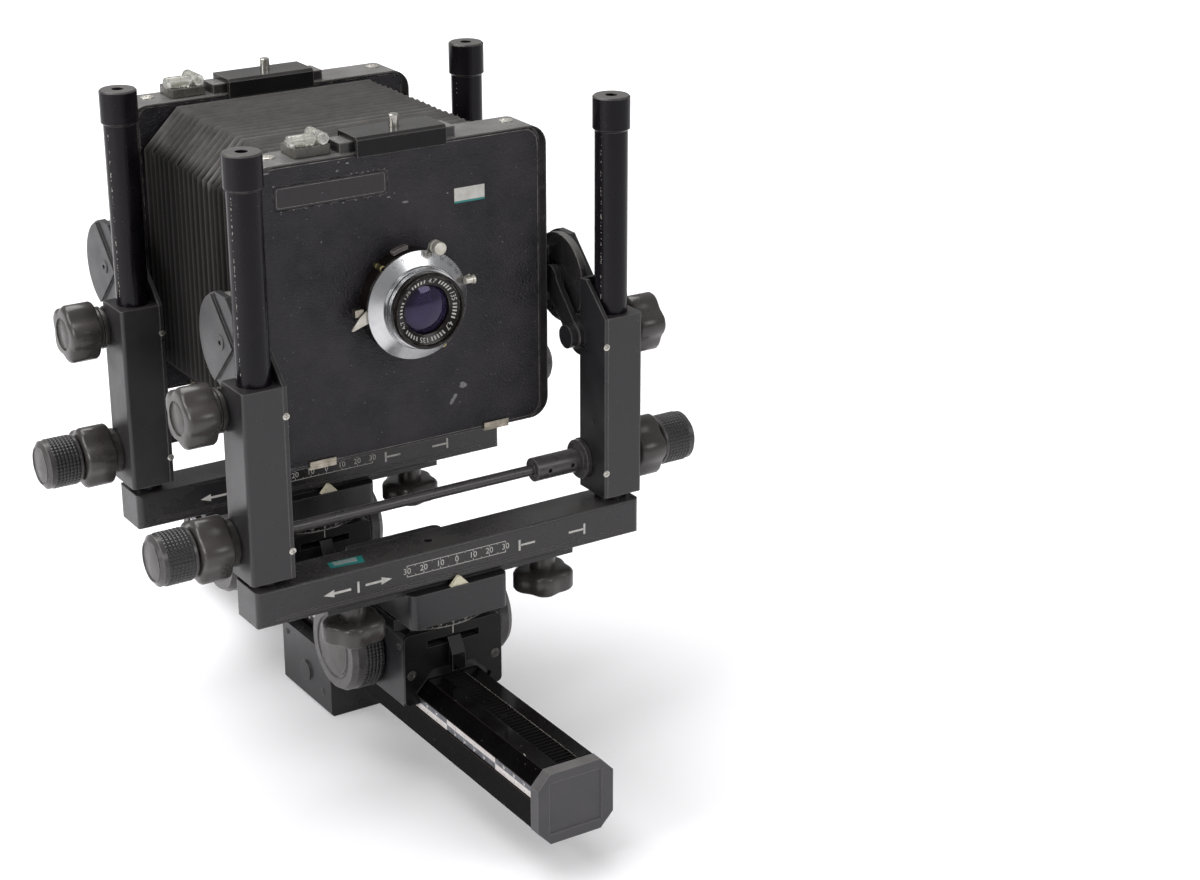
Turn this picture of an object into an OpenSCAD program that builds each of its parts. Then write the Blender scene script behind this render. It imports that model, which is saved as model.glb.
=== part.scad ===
// Large format view camera: two geared standards on an octagonal monorail.
// +Z is up, the lens looks along -Y, X = 0 is the middle plane, Y = 0 holds the
// axes of the front columns and Z = 0 is the bottom of the tripod block.

/* [Rail] */
// Width of the octagonal rail
rail_w = 44; // [42:0.5:48]
// Height of the rail
rail_h = 39; // [37:0.5:42]
// Width of the rail's corner chamfers
rail_chamfer_x = 7; // [5:0.5:8]
// Height of the rail's corner chamfers
rail_chamfer_z = 7.5; // [6:0.5:8]
// Length of the rail between its end caps
rail_l = 416; // [390:1:450]
// Reach of the rail in front of the front columns
rail_front = 123; // [110:1:135]
// Thickness of the rail's end caps
rail_cap_t = 7; // [4:0.5:10]
// How far the end caps stand proud of the rail
rail_cap_proud = 0.5; // [0.2:0.1:1]
// Depth of the scale groove in each side of the rail
groove_depth = 2.9; // [2:0.1:3.5]
// Thickness of the scale tape in the groove
tape_t = 0.3; // [0.1:0.1:0.5]

/* [Gears] */
// Module of the focusing rack
rack_module = 1; // [0.9:0.05:1.1]
// Teeth on the focusing pinion
pinion_teeth = 24; // [22:1:26]
// Width of the focusing rack
rack_w = 12; // [10:0.5:14]
// Module of the rise racks in the columns
rise_module = 0.75; // [0.7:0.05:0.8]
// Teeth on the rise pinions
rise_teeth = 12; // [12:1:13]
// Thinning of each pinion tooth for free running
tooth_backlash = 0.2; // [0.1:0.05:0.3]

/* [Tripod block] */
// Width of the tripod block
block_w = 60; // [56:1:66]
// Length of the tripod block along the rail
block_l = 60; // [50:1:60]
// Solid depth of the block under the rail
block_floor = 19; // [17:0.5:24]
// Diameter of the tripod screw socket
socket_d = 9.5; // [6:0.1:10]
// Depth of the tripod screw socket
socket_depth = 12; // [8:0.5:14]
// Diameter of the rail clamp knob
clamp_knob_d = 30; // [24:1:34]

/* [Standards] */
// Distance between the two standards
standard_gap = 151; // [151:1:165]
// Distance from the columns back to the swing and tilt axes
axis_setback = 38; // [37:0.5:39]

/* [Carriage] */
// Width of each rail carriage
carriage_w = 60; // [58:1:66]
// Length of each carriage with its two cover plates
carriage_l = 90; // [84:1:90]
// Height of each carriage
carriage_h = 41.5; // [40.5:0.5:46]
// How far the carriage reaches down past the rail's top
carriage_reach = 12; // [11:0.5:13]
// Thickness of the carriage cover plates
cover_t = 2; // [1.5:0.25:3]
// Diameter of the focusing knobs
focus_knob_d = 50; // [44:1:50]
// Width of the focusing knobs
focus_knob_w = 19; // [15:1:22]
// Diameter of the focusing shaft
focus_shaft_d = 10; // [8:0.5:12]
// Half width of the latch slot in the front cover plate
latch_slot_w = 16; // [14:0.5:18]
// Width of the latch lever
latch_w = 8; // [6:0.5:9]

/* [Swing and shift] */
// Diameter of the degree table
table_d = 104; // [100:1:108]
// Thickness of the degree table
table_h = 6.5; // [5:0.5:8]
// Diameter of the swing post
post_d = 24; // [20:1:28]
// Width of the carrier block
carrier_w = 59; // [54:1:64]
// Height of the carrier block
carrier_h = 19.5; // [18:0.5:22]
// Length of the sliding tongue in the base bar
tongue_l = 150; // [146:1:152]
// Diameter of the lobed lock knobs under the bar
under_knob_d = 34; // [28:1:34]
// Height of the lobed lock knobs under the bar
under_knob_h = 12.5; // [10:0.5:12.5]
// Place of the swing lock knob left of the middle
swing_lock_x = 56; // [56:1:60]
// Place of the shift lock knob right of the middle
shift_lock_x = 61; // [58:1:64]

/* [Base bar] */
// Bar beyond the column axis at each end
bar_overhang = 10.5; // [9:0.5:14]
// Depth of the base bar, front to back
bar_w = 26; // [24:0.5:30]
// Height of the base bar
bar_h = 20; // [18:0.5:24]
// Length of each moulded end cap
bar_cap_l = 10; // [7:0.5:10]

/* [Columns] */
// Column axis beyond the side of the frame
column_gap = 19; // [19:0.25:20.5]
// Diameter of the columns
column_d = 17.7; // [17:0.1:18]
// Height of the columns above the base bar
column_l = 207.4; // [200:1:220]
// Diameter of the column end caps
column_cap_d = 20; // [19:0.5:22]
// Height of the column end caps
column_cap_h = 18.3; // [14:0.5:22]
// Diameter of the hole in each end cap
cap_hole_d = 6.5; // [4:0.5:8]

/* [Risers] */
// Depth of the riser housings, front to back
riser_d = 25; // [24:0.5:27]
// Height of the riser housings
riser_h = 103.4; // [100:0.5:108]
// Inner face of a riser from its column's axis
riser_inset = 11.8; // [11.6:0.1:12]
// Outer face of a riser from its column's axis
riser_outset = 12.3; // [11.5:0.1:14]
// Gap between the risers and the base bar at rest
riser_rest = 4.2; // [4:0.1:6]
// Thickness of the inner cover plates
riser_plate_t = 2.2; // [2:0.1:2.3]
// Height of the rise shaft above the riser's foot
rise_axis_up = 16.6; // [15:0.1:18]
// Diameter of the rise shaft
rise_shaft_d = 6; // [5:0.25:6.5]
// Diameter of the lock rings on the rise shaft
lock_ring_d = 35; // [30:1:36]
// Diameter of the rise knobs
rise_knob_d = 27; // [24:1:30]

/* [Tilt] */
// Height of the tilt axis above the riser's foot
pivot_up = 113.6; // [112:0.1:115]
// Radius of the tilt discs on the frame
disc_r = 24.8; // [23:0.1:25]
// Height of the tilt clamp axis above the riser's foot
clamp_up = 87.8; // [87:0.1:89]
// Place of the tilt clamp axis behind the columns
clamp_back = 14; // [14:0.1:14.5]
// Diameter of the lobed tilt clamp knobs
tilt_knob_d = 33; // [28:1:35]

/* [Frames] */
// Frame beyond the lens board at each side
frame_side = 5.5; // [4:0.25:6]
// Frame beyond the lens board above and below
frame_edge = 1.5; // [1:0.25:3]
// Depth of the frames, front to back
frame_d = 24.6; // [23:0.1:26]
// Corner radius of the frames
frame_r = 11; // [8:0.5:14]
// Seat round the frames' square window that the boards rest on
window_rim = 11; // [9:0.5:16]
// Middle of the frame above the tilt axis
frame_lift = 5.5; // [4:0.1:7]
// Width and height of the lens board and of the bellows panels
board = 162; // [160:0.1:162]
// Thickness of the lens board and of the bellows panels
board_t = 3.2; // [2.5:0.1:4]
// Corner radius of the lens board
board_r = 6; // [4:0.5:8]

/* [Lens] */
// Diameter of the shutter body
shutter_d = 57; // [54:1:60]
// Depth of the shutter body
shutter_h = 9.5; // [8:0.5:12]
// Diameter of the speed ring's rim
ring_d = 58.6; // [58:0.2:64]
// Diameter of the front lens cell
cell_d = 40.6; // [38:0.2:43]
// Clear diameter of the lens
glass_d = 26.2; // [22:0.2:28]

/* [Bellows and back] */
// Bellows inside the edge of their panels at each side
bellows_inset = 1; // [0.5:0.25:4]
// Depth of the bellows folds
fold_depth = 9; // [6:0.5:11]
// Number of bellows folds
folds = 18; // [12:1:24]
// Thickness of the spring back
back_t = 9; // [7:0.5:12]
// Width of the picture opening
picture_w = 121; // [100:1:125]
// Height of the picture opening
picture_h = 96; // [80:1:100]

/* [Hidden] */

$fn = 72;
fit = 0.05;     // radial clearance of shafts and posts in their bores
slide = 0.3;    // clearance of sliding and loose faces
eps = 0.01;     // overlap of a cut past the face that it opens
seam = 0.02;    // joint line between separate pieces of one sub-part

// Heights of the stack, from the resting plane up
rail_mid = block_floor + rail_h / 2;
rail_top = block_floor + rail_h;
focus_r = rack_module * pinion_teeth / 2;
focus_z = rail_top - rack_module + focus_r;
carriage_z = rail_top - carriage_reach;
carriage_top = carriage_z + carriage_h;
table_top = carriage_top + table_h;
carrier_z = table_top + 1;
carrier_top = carrier_z + carrier_h;
tongue_foot_h = 3;
tongue_z = carrier_top - tongue_foot_h;
bar_z = carrier_top + 2.5;
bar_top = bar_z + bar_h;
column_top = bar_top + column_l;
riser_z = bar_top + riser_rest;
rise_z = riser_z + rise_axis_up;
clamp_z = riser_z + clamp_up;
pivot_z = riser_z + pivot_up;
frame_z = pivot_z + frame_lift;

// Scale groove in the rail's sides
groove_lip = 0.3;
groove_slant = 1;
groove_z = rail_mid + 4.1;
groove_top = rail_top - rail_chamfer_z - groove_lip - groove_slant;

// Places along Y
rail_y0 = -rail_front;
rail_y1 = rail_y0 + rail_l;
carriage_y0 = axis_setback - carriage_l / 2;
carriage_y1 = axis_setback + carriage_l / 2;
block_mid = axis_setback + standard_gap / 2;
frame_y0 = axis_setback - 3.8;
frame_y1 = frame_y0 + frame_d;
recess = 3;
board_y0 = frame_y0 + recess - board_t;

// Places along X
frame_w = board + 2 * frame_side;
frame_h = board + 2 * frame_edge;
window = board - 2 * window_rim;
bellows_w = board - 2 * bellows_inset;
column_x = frame_w / 2 + column_gap;
bar_l = 2 * (column_x + bar_overhang);
riser_in = column_x - riser_inset;
riser_out = column_x + riser_outset;
frame_x = frame_w / 2;
rail_x = rail_w / 2;

// Outline along X: 2D x and y become Y and Z
module along_x(x0, x1) {
    translate([x0, 0, 0]) rotate([90, 0, 90]) linear_extrude(x1 - x0) children();
}

// Outline along Y: 2D x and y become X and Z
module along_y(y0, y1) {
    translate([0, y1, 0]) rotate([90, 0, 0]) linear_extrude(y1 - y0) children();
}

module along_z(z0, z1) {
    translate([0, 0, z0]) linear_extrude(z1 - z0) children();
}

// Round rod along X
module rod_x(x0, x1, y, z, d) {
    translate([x0, y, z]) rotate([0, 90, 0]) cylinder(h = x1 - x0, d = d);
}

// Round rod along Y
module rod_y(y0, y1, x, z, d) {
    translate([x, y0, z]) rotate([-90, 0, 0]) cylinder(h = y1 - y0, d = d);
}

// A turned profile about an axis along X: profile x is radius, profile y is X
module turned_x(y, z) {
    translate([0, y, z]) rotate([0, 90, 0]) rotate_extrude() children();
}

// A turned profile about an axis along Y, with profile y going to -Y
module turned_y(x, z) {
    translate([x, 0, z]) rotate([90, 0, 0]) rotate_extrude() children();
}

module box(x0, x1, y0, y1, z0, z1) {
    translate([x0, y0, z0]) cube([x1 - x0, y1 - y0, z1 - z0]);
}

module both_sides() {
    children();
    mirror([1, 0, 0]) children();
}

module left_side() {
    mirror([1, 0, 0]) children();
}

module to_rear() {
    translate([0, standard_gap, 0]) children();
}

// Puts the origin at the mouth of the tripod socket
module placed() {
    translate([0, -block_mid, 0]) children();
}

// Rectangle between two corners with round corners
module rounded(x0, x1, y0, y1, r) {
    translate([x0 + r, y0]) square([x1 - x0 - 2 * r, y1 - y0]);
    translate([x0, y0 + r]) square([x1 - x0, y1 - y0 - 2 * r]);
    for (x = [x0 + r, x1 - r], y = [y0 + r, y1 - r]) translate([x, y]) circle(r);
}

// Turned disc with chamfered rims between two heights
module puck(r, h0, h1, c) {
    polygon([[0, h0], [r - c, h0], [r, h0 + c], [r, h1 - c], [r - c, h1], [0, h1]]);
}

// Phillips screw head: a low round head with a cross recess, axis along +Z
module screw_head(d, h) {
    difference() {
        cylinder(h = h, d1 = d, d2 = d * 0.8, $fn = 32);
        for (a = [0, 90]) rotate(a) translate([0, 0, h]) cube([d * 0.6, d * 0.14, h], center = true);
    }
}

// Points on an arc from angle a0 to a1 in n steps
function arc(cx, cy, r, a0, a1, n) =
    [for (i = [0 : n]) let (a = a0 + (a1 - a0) * i / n) [cx + r * cos(a), cy + r * sin(a)]];

// Star knob outline: round lobes of radius lobe joined by tangent hollows.
// The hollow's centre lies where its circle touches both neighbouring lobes.
function star(n, r, lobe, waist) =
    let (half = 180 / n, a = r - lobe, k = lobe - waist,
        b = (a * a - k * k) / (2 * (k + a * cos(half))), hollow = b - waist,
        tip = atan2(a * sin(half), b - a * cos(half)), turn = half + tip)
    [for (i = [0 : n - 1]) each concat(
        [for (p = arc(a, 0, lobe, -turn, turn, 8)) spin(p, i * 2 * half)],
        [for (p = arc(b, 0, hollow, 180 + tip, 180 - tip, 6)) spin(p, (2 * i + 1) * half)])];

function spin(p, a) = [p.x * cos(a) - p.y * sin(a), p.x * sin(a) + p.y * cos(a)];

// Five-lobed hand knob between two heights, rims rounded by a turned blank
module lobed_knob(d, h0, h1) {
    intersection() {
        along_z(h0, h1) polygon(star(5, d / 2, d * 0.165, d * 0.355));
        rotate_extrude() puck(d / 2, h0, h1, 1.2);
    }
}

// Involute gear outline with n teeth of module m, each tooth thinned by slack.
// Its first gap points along +X.
function involute(rb, t) = [rb * (cos(t) + t * PI / 180 * sin(t)), rb * (sin(t) - t * PI / 180 * cos(t))];
function roll(rb, r) = sqrt(max(0, r * r / (rb * rb) - 1)) * 180 / PI;
function flank(rb, r) = let (p = involute(rb, roll(rb, r))) atan2(p.y, p.x);
function gear(n, m, slack) =
    let (rp = n * m / 2, rb = rp * cos(20), ra = rp + 0.95 * m, rd = rp - 1.2 * m,
        r0 = max(rb, rd), half = 90 / n - slack / 2 / rp * 180 / PI)
    [for (i = [0 : n - 1]) let (mid = (i + 0.5) * 360 / n) each concat(
        rd < rb ? [polar(rd, mid - half - flank(rb, rp))] : [],
        [for (k = [0 : 4]) let (r = r0 + (ra - r0) * k / 4)
            polar(r, mid - half - flank(rb, rp) + flank(rb, r))],
        [for (k = [4 : -1 : 0]) let (r = r0 + (ra - r0) * k / 4)
            polar(r, mid + half + flank(rb, rp) - flank(rb, r))],
        rd < rb ? [polar(rd, mid + half + flank(rb, rp))] : [])];
function polar(r, a) = [r * cos(a), r * sin(a)];

// Straight rack: tooth tips at height 0 and roots below, from y0 to y1.
// Tooth gaps are centred on whole pitches from y = start.
function rack(y0, y1, start, m) =
    let (pitch = PI * m, root = -2.25 * m, tip_half = pitch / 4 - m * tan(20),
        root_half = pitch / 4 + 1.25 * m * tan(20),
        first = ceil((y0 - start) / pitch), last = floor((y1 - start) / pitch) - 1)
    concat([[y0, root], [y0, root - m]], [[y1, root - m], [y1, root]],
        [for (k = [last : -1 : first]) let (c = start + (k + 0.5) * pitch)
            each [[c + root_half, root], [c + tip_half, 0], [c - tip_half, 0], [c - root_half, root]]]);

// ---- Rail and tripod block

// Right half of the rail's outline, grown by g on every face
function rail_half(g) = let (top = rail_top - rail_chamfer_z, floor_x = rail_x - groove_depth) [
    [rail_x - rail_chamfer_x + g * 0.4, rail_top + g],
    [rail_x + g, top + g * 0.4],
    [rail_x + g, top - groove_lip - g * 0.76],
    [floor_x + g, groove_top - g * 0.76],
    [floor_x + g, groove_z + groove_slant],
    [rail_x + g, groove_z],
    [rail_x + g, block_floor + rail_chamfer_z - g * 0.4],
    [rail_x - rail_chamfer_x + g * 0.4, block_floor - g]];

function flipped(pts) = [for (i = [len(pts) - 1 : -1 : 0]) [-pts[i].x, pts[i].y]];

module rail_outline(g) {
    polygon(concat(rail_half(g), flipped(rail_half(g))));
}

module rail_octagon(g) {
    cx = rail_x - rail_chamfer_x;
    polygon([[cx, rail_top + g], [rail_x + g, rail_top - rail_chamfer_z],
        [rail_x + g, block_floor + rail_chamfer_z], [cx, block_floor - g],
        [-cx, block_floor - g], [-rail_x - g, block_floor + rail_chamfer_z],
        [-rail_x - g, rail_top - rail_chamfer_z], [-cx, rail_top + g]]);
}

module rail() {
    color("#17171a") {
        difference() {
            along_y(rail_y0, rail_y1) rail_outline(0);
            box(-rack_w / 2, rack_w / 2, rail_y0 - eps, rail_y1 + eps,
                rail_top - 2.25 * rack_module, rail_top + 1);
            both_sides() tape(1);
        }
        along_x(-rack_w / 2, rack_w / 2) translate([0, rail_top])
            polygon(rack(rail_y0, rail_y1, axis_setback, rack_module));
    }
}

// Scale tape on the floor of the groove; out lengthens its blank past the face
module tape(out) {
    floor_x = rail_x - groove_depth;
    box(floor_x - tape_t, floor_x + out, rail_y0, rail_y1, groove_z + groove_slant, groove_top);
}

module rail_scales() {
    color("#c9c9c4") both_sides() tape(0);
}

module rail_end_cap() {
    panel = rail_x - 6.5;
    difference() {
        along_y(-rail_cap_t, 0) rail_octagon(rail_cap_proud);
        along_y(-rail_cap_t - 1, 0.8 - rail_cap_t)
            rounded(-panel, panel, rail_mid - panel + 1, rail_mid + panel - 1, 0.8);
    }
}

module rail_end_caps() {
    color("#2a2a2c") {
        translate([0, rail_y0, 0]) rail_end_cap();
        translate([0, rail_y1, 0]) mirror([0, 1, 0]) rail_end_cap();
    }
}

clamp_screw_d = 6;
clamp_screw_z = (block_floor + rail_chamfer_z + rail_mid) / 2;

module tripod_block() {
    y0 = block_mid - block_l / 2;
    y1 = block_mid + block_l / 2;
    x = block_w / 2;
    color("#2e2e30") difference() {
        union() {
            along_y(y0, y1) polygon([[-x, 1.5], [1.5 - x, 0], [x - 1.5, 0], [x, 1.5],
                [x, rail_mid], [-x, rail_mid]]);
            rod_x(-x - 1.2, -x + 1, block_mid, block_floor - 1.5, 12);
            translate([-x, y1 - 6, rail_mid - 6]) rotate([0, -90, 0]) screw_head(4, 0.8);
        }
        along_y(y0 - 1, y1 + 1) rail_octagon(0);
        translate([0, block_mid, -1]) cylinder(h = socket_depth + 1, d = socket_d);
        rod_x(0, x + 1, block_mid, clamp_screw_z, clamp_screw_d + 2 * fit);
    }
}

module tripod_clamp_knob() {
    x = block_w / 2 + slide;
    color("#28282a") translate([0, block_mid, clamp_screw_z]) rotate([0, 90, 0]) {
        translate([0, 0, rail_x + slide]) cylinder(h = 16, d = clamp_screw_d);
        translate([0, 0, x]) cylinder(h = 8, d = 13);
        lobed_knob(clamp_knob_d, x + 6, x + 18);
    }
}

// ---- Carriage: slides on the rail and holds the focusing pinion

latch_t = 3.4;
latch_z = focus_z + 9.3;
latch_y = 20;
latch_pin_d = 4;
pinion_w = rack_w - 1;

module carriage() {
    y0 = carriage_y0 + cover_t;
    y1 = carriage_y1 - cover_t;
    x = carriage_w / 2;
    room = 2 * (focus_r + rack_module + 0.5);
    color("#2c2c2e") {
        difference() {
            along_y(y0, y1) polygon([[-x, carriage_z], [x, carriage_z], [x, carriage_top - 2],
                [x - 2, carriage_top], [2 - x, carriage_top], [-x, carriage_top - 2]]);
            along_y(y0 - 1, y1 + 1) rail_outline(slide);
            rod_x(-x - 1, x + 1, axis_setback, focus_z, focus_shaft_d + 2 * fit);
            rod_x(-pinion_w / 2 - 1, pinion_w / 2 + 1, axis_setback, focus_z, room);
            difference() {
                box(-latch_slot_w, latch_slot_w, y0 - 1, latch_y + 7,
                    latch_z - slide, latch_z + latch_t + slide);
                translate([0, latch_y, latch_z - 1]) cylinder(h = latch_t + 2, d = latch_pin_d);
            }
        }
    }
}

module cover_plate() {
    x = carriage_w / 2;
    difference() {
        along_y(0, cover_t) rounded(-x, x, carriage_z, carriage_top, 3);
        along_y(-1, cover_t + 1) {
            rail_outline(slide);
            polygon([[13, rail_top + 6], [rail_x + 1.5, rail_top - 5], [rail_x, rail_top - rail_chamfer_z],
                [-rail_x, rail_top - rail_chamfer_z], [-rail_x - 1.5, rail_top - 5], [-13, rail_top + 6]]);
        }
        box(-latch_slot_w, latch_slot_w, -1, cover_t + 1, latch_z - slide, latch_z + latch_t + slide);
    }
}

module carriage_plates() {
    color("#1c1c1e") {
        translate([0, carriage_y0, 0]) cover_plate();
        translate([0, carriage_y1, 0]) mirror([0, 1, 0]) cover_plate();
    }
}

// turned is the pinion's angle that meshes it with the rack at rest
module focus_drive(turned) {
    inner = carriage_w / 2 + 1;
    outer = inner + focus_knob_w;
    r = focus_knob_d / 2;
    color("#2f2f31") {
        rod_x(-inner - 1, inner + 1, axis_setback, focus_z, focus_shaft_d);
        translate([0, axis_setback, focus_z]) along_x(-pinion_w / 2, pinion_w / 2)
            rotate(turned - 90 - 180 / pinion_teeth) polygon(gear(pinion_teeth, rack_module, tooth_backlash));
        both_sides() turned_x(axis_setback, focus_z)
            polygon([[0, inner], [r - 0.8, inner], [r, inner + 0.8], [r, outer - 3], [r - 2, outer],
                [r * 0.68, outer], [r * 0.68, outer - 0.6], [r * 0.64, outer - 0.6],
                [r * 0.64, outer], [0, outer]]);
    }
}

// Quick-release lever: swings about its pin in the carriage's slot
module latch() {
    z1 = latch_z + latch_t;
    front = carriage_y0 - 6;
    back = carriage_y0 - 2.5;
    color("#1a1a1c") difference() {
        union() {
            along_x(-latch_w / 2, latch_w / 2) polygon([[front, rail_top + 5.5], [back, rail_top + 5.5],
                [back, latch_z - 1.2], [back + 0.5, latch_z], [latch_y, latch_z], [latch_y, z1],
                [front + 5, z1], [front, z1 - 8.7]]);
            translate([0, latch_y, latch_z]) cylinder(h = latch_t, r = latch_w / 2);
        }
        translate([0, latch_y, latch_z - 1]) cylinder(h = latch_t + 2, d = latch_pin_d + 2 * fit);
    }
}

// ---- Swing table, carrier and the two lock knobs under the bar

post_h = 11;

module swing_table() {
    x = carriage_w / 2;
    color("#242426") translate([0, axis_setback, 0]) {
        intersection() {
            translate([0, 0, carriage_top]) cylinder(h = table_h, d = table_d, $fn = 128);
            box(-x, x, -table_d, table_d, carriage_top - 1, table_top + 1);
        }
        translate([0, 0, table_top - eps]) cylinder(h = post_h, d = post_d);
    }
}

// T-shaped tongue of the carrier, grown by g for the slot in the bar
neck_w = 8;
head_w = 14;
neck_z = bar_z + 4;
head_h = 5;
stem_d = 6;
carrier_y0 = -bar_w / 2 - 3.5;

module tongue_outline(g) {
    translate([-neck_w / 2 - g, bar_z - 1]) square([neck_w + 2 * g, neck_z - bar_z + 2]);
    translate([-head_w / 2 - g, neck_z + slide - g])
        square([head_w + 2 * g, head_h + 2 * g]);
}

module carrier() {
    x = carrier_w / 2;
    foot_z = bar_z - slide - 4;
    color("#303032") difference() {
        union() {
            along_z(carrier_z, carrier_top) rounded(-x, x, carrier_y0, axis_setback + post_d, 4);
            box(-tongue_l / 2, tongue_l / 2, -head_w / 2 - 2, head_w / 2 + 2, foot_z, bar_z - slide);
            along_x(-tongue_l / 2, tongue_l / 2) tongue_outline(0);
        }
        translate([0, axis_setback, carrier_z - 1])
            cylinder(h = post_h + 1, d = post_d + 2 * fit);
        for (px = [-swing_lock_x, shift_lock_x]) translate([px, 0, foot_z - 1])
            cylinder(h = neck_z - foot_z + 4, d = stem_d + 2 * fit);
    }
    // Shift pointer standing in front of the bar
    color("#e6dfc4") along_y(carrier_y0 + 0.7, -bar_w / 2 - 0.4)
        translate([0, carrier_top + seam]) polygon([[-5.3, 0], [5.3, 0], [0.7, 5], [-0.7, 5]]);
}

module under_knob(px) {
    top = carrier_top - 10;
    foot_z = bar_z - slide - 4;
    color("#333335") translate([px, 0, 0]) {
        lobed_knob(under_knob_d, top - under_knob_h, top);
        translate([0, 0, top - eps]) cylinder(h = foot_z - slide - top, d = 14);
        translate([0, 0, top]) cylinder(h = neck_z + 2 - top, d = stem_d);
    }
}

// ---- Base bar and columns

spigot_d = 12;
spigot_h = 9;

module base_bar() {
    core = bar_l / 2 - bar_cap_l;
    w = bar_w / 2;
    color("#2b2b2d") difference() {
        along_x(-core, core) rounded(-w, w, bar_z, bar_top, 1.5);
        along_x(-core - 1, core + 1) tongue_outline(slide);
        for (z = [3, 4.4]) box(-core - 1, core + 1, -w - 1, 0.5 - w, bar_z + z, bar_z + z + 0.5);
        column_sockets();
        translate([-10, 0, bar_top - 6]) cylinder(h = 7, d = 5);
    }
    color("#303032") difference() {
        both_sides() intersection() {
            along_x(core + seam, bar_l / 2) rounded(-w, w, bar_z, bar_top, 1.5);
            along_z(bar_z - 1, bar_top + 1) rounded(core - 20, bar_l / 2, -w, w, 3);
        }
        column_sockets();
    }
}

module column_sockets() {
    both_sides() translate([column_x, 0, bar_top - spigot_h]) cylinder(h = spigot_h + 1, d = spigot_d);
}

rise_r = rise_module * rise_teeth / 2;
rack_face = 6.75;
rise_y = rack_face - rise_module + rise_r;
rise_travel = 85;
rise_drop = 3.5;

module columns() {
    rack_z0 = rise_z - rise_drop - rise_r - 4;
    rack_z1 = rise_z + rise_travel + rise_r + 4;
    root = rack_face - 2.25 * rise_module;
    r = column_d / 2;
    color("#2b2a2d") both_sides() translate([column_x, 0, 0]) {
        difference() {
            translate([0, 0, bar_top]) cylinder(h = column_l, d = column_d);
            box(-r - 1, r + 1, root, r + 1, rack_z0, rack_z1);
        }
        intersection() {
            translate([0, 0, rack_z0]) cylinder(h = rack_z1 - rack_z0, d = column_d);
            along_x(-r, r)
                polygon([for (p = rack(rack_z0, rack_z1, rise_z, rise_module)) [rack_face + p.y, p.x]]);
        }
        translate([0, 0, bar_top - spigot_h]) cylinder(h = spigot_h + eps, d = spigot_d);
        column_cap();
    }
}

module column_cap() {
    translate([0, 0, column_top]) difference() {
        rotate_extrude() puck(column_cap_d / 2, 0, column_cap_h, 0.8);
        translate([0, 0, 4]) cylinder(h = column_cap_h, d = cap_hole_d);
    }
}

// ---- Risers: geared housings that climb the columns and carry the frame

disc_t = 4;
disc_x = riser_in + riser_plate_t + 0.1;
outer_plate_x = disc_x + disc_t + slide;
outer_plate_t = 3.6;
pivot_d = 8;
clamp_d = 6;
lug_r = 11.5;
clear_r = disc_r + 1.4;
web_y = column_cap_d / 2 + 0.3;
web_t = 1.8;

// Side outline of a riser; back is the clearance round the tilt disc
module riser_side() {
    difference() {
        union() {
            translate([0, riser_z]) square([riser_d / 2, riser_h]);
            for (p = [[clamp_back, clamp_z], [rise_y, rise_z]]) {
                translate(p) circle(lug_r);
                translate([0, p.y - lug_r]) square([p.x, 2 * lug_r]);
            }
        }
        translate([axis_setback, pivot_z]) circle(clear_r);
    }
}

module riser_bores(x0, x1) {
    rod_x(x0, x1, rise_y, rise_z, rise_shaft_d + 2 * fit);
    rod_x(x0, x1, clamp_back, clamp_z, clamp_d + 2 * fit);
}

module riser() {
    x0 = riser_in + riser_plate_t;
    w = riser_d / 2;
    difference() {
        union() {
            along_z(riser_z, riser_z + riser_h) {
                rounded(x0, riser_out, -w, w, 2);
                translate([x0, -w]) square([6, riser_d]);
            }
            along_x(x0, riser_out) riser_side();
        }
        translate([column_x, 0, riser_z - 1]) cylinder(h = riser_h + 2, d = column_d + 2 * fit);
        rod_x(column_x - 5, column_x + 5, rise_y, rise_z, 2 * (rise_r + rise_module + 0.3));
        riser_bores(x0 - 1, riser_out + 1);
    }
}

module risers() {
    color("#333336") both_sides() riser();
}

// Inner cover plate with its ear, the web behind the column and the outer
// pivot plate, then the clamp arm with its pivot pin
module riser_plate() {
    x0 = riser_in;
    x1 = riser_in + riser_plate_t;
    x2 = outer_plate_x + outer_plate_t;
    w = riser_d / 2;
    top = riser_z + riser_h;
    ear_top = pivot_z + 7;
    ear_y = web_y + web_t;
    difference() {
        union() {
            along_x(x0, x1) {
                translate([-w, riser_z]) square([w, riser_h]);
                riser_side();
                polygon([[-w, top - 1], [ear_y, top - 1], [ear_y, ear_top],
                    [ear_top - top - w + 1.2, ear_top], [-w, top]]);
            }
            box(x0, x2, web_y, ear_y, top + slide, ear_top);
            along_x(outer_plate_x, x2) pivot_plate(disc_r + 1.2);
            along_x(x2 - eps, x2 + 1.5) intersection() {
                pivot_plate(disc_r + 0.4);
                translate([axis_setback - 13.4, pivot_z]) rotate(-45) square(4 * disc_r);
            }
        }
        riser_bores(x0 - 1, x1 + 1);
        rod_x(outer_plate_x - 1, x2 + 3, axis_setback, pivot_z, pivot_d);
    }
}

// Outline of the outer pivot plate: round, with a flat top and a sloped front
module pivot_plate(r) {
    intersection() {
        union() {
            translate([axis_setback, pivot_z]) circle(r);
            translate([web_y, riser_z + riser_h + slide]) square([axis_setback - web_y, 16.7]);
        }
        translate([axis_setback, pivot_z]) rotate(45) translate([-3 * r, -3 * r]) square([6 * r, 3 * r + 21]);
        translate([0, pivot_z - 2 * r]) square([3 * r, 3 * r - 1]);
    }
}

arm_t = 3.2;
arm_x = riser_in - slide - arm_t;

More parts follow.
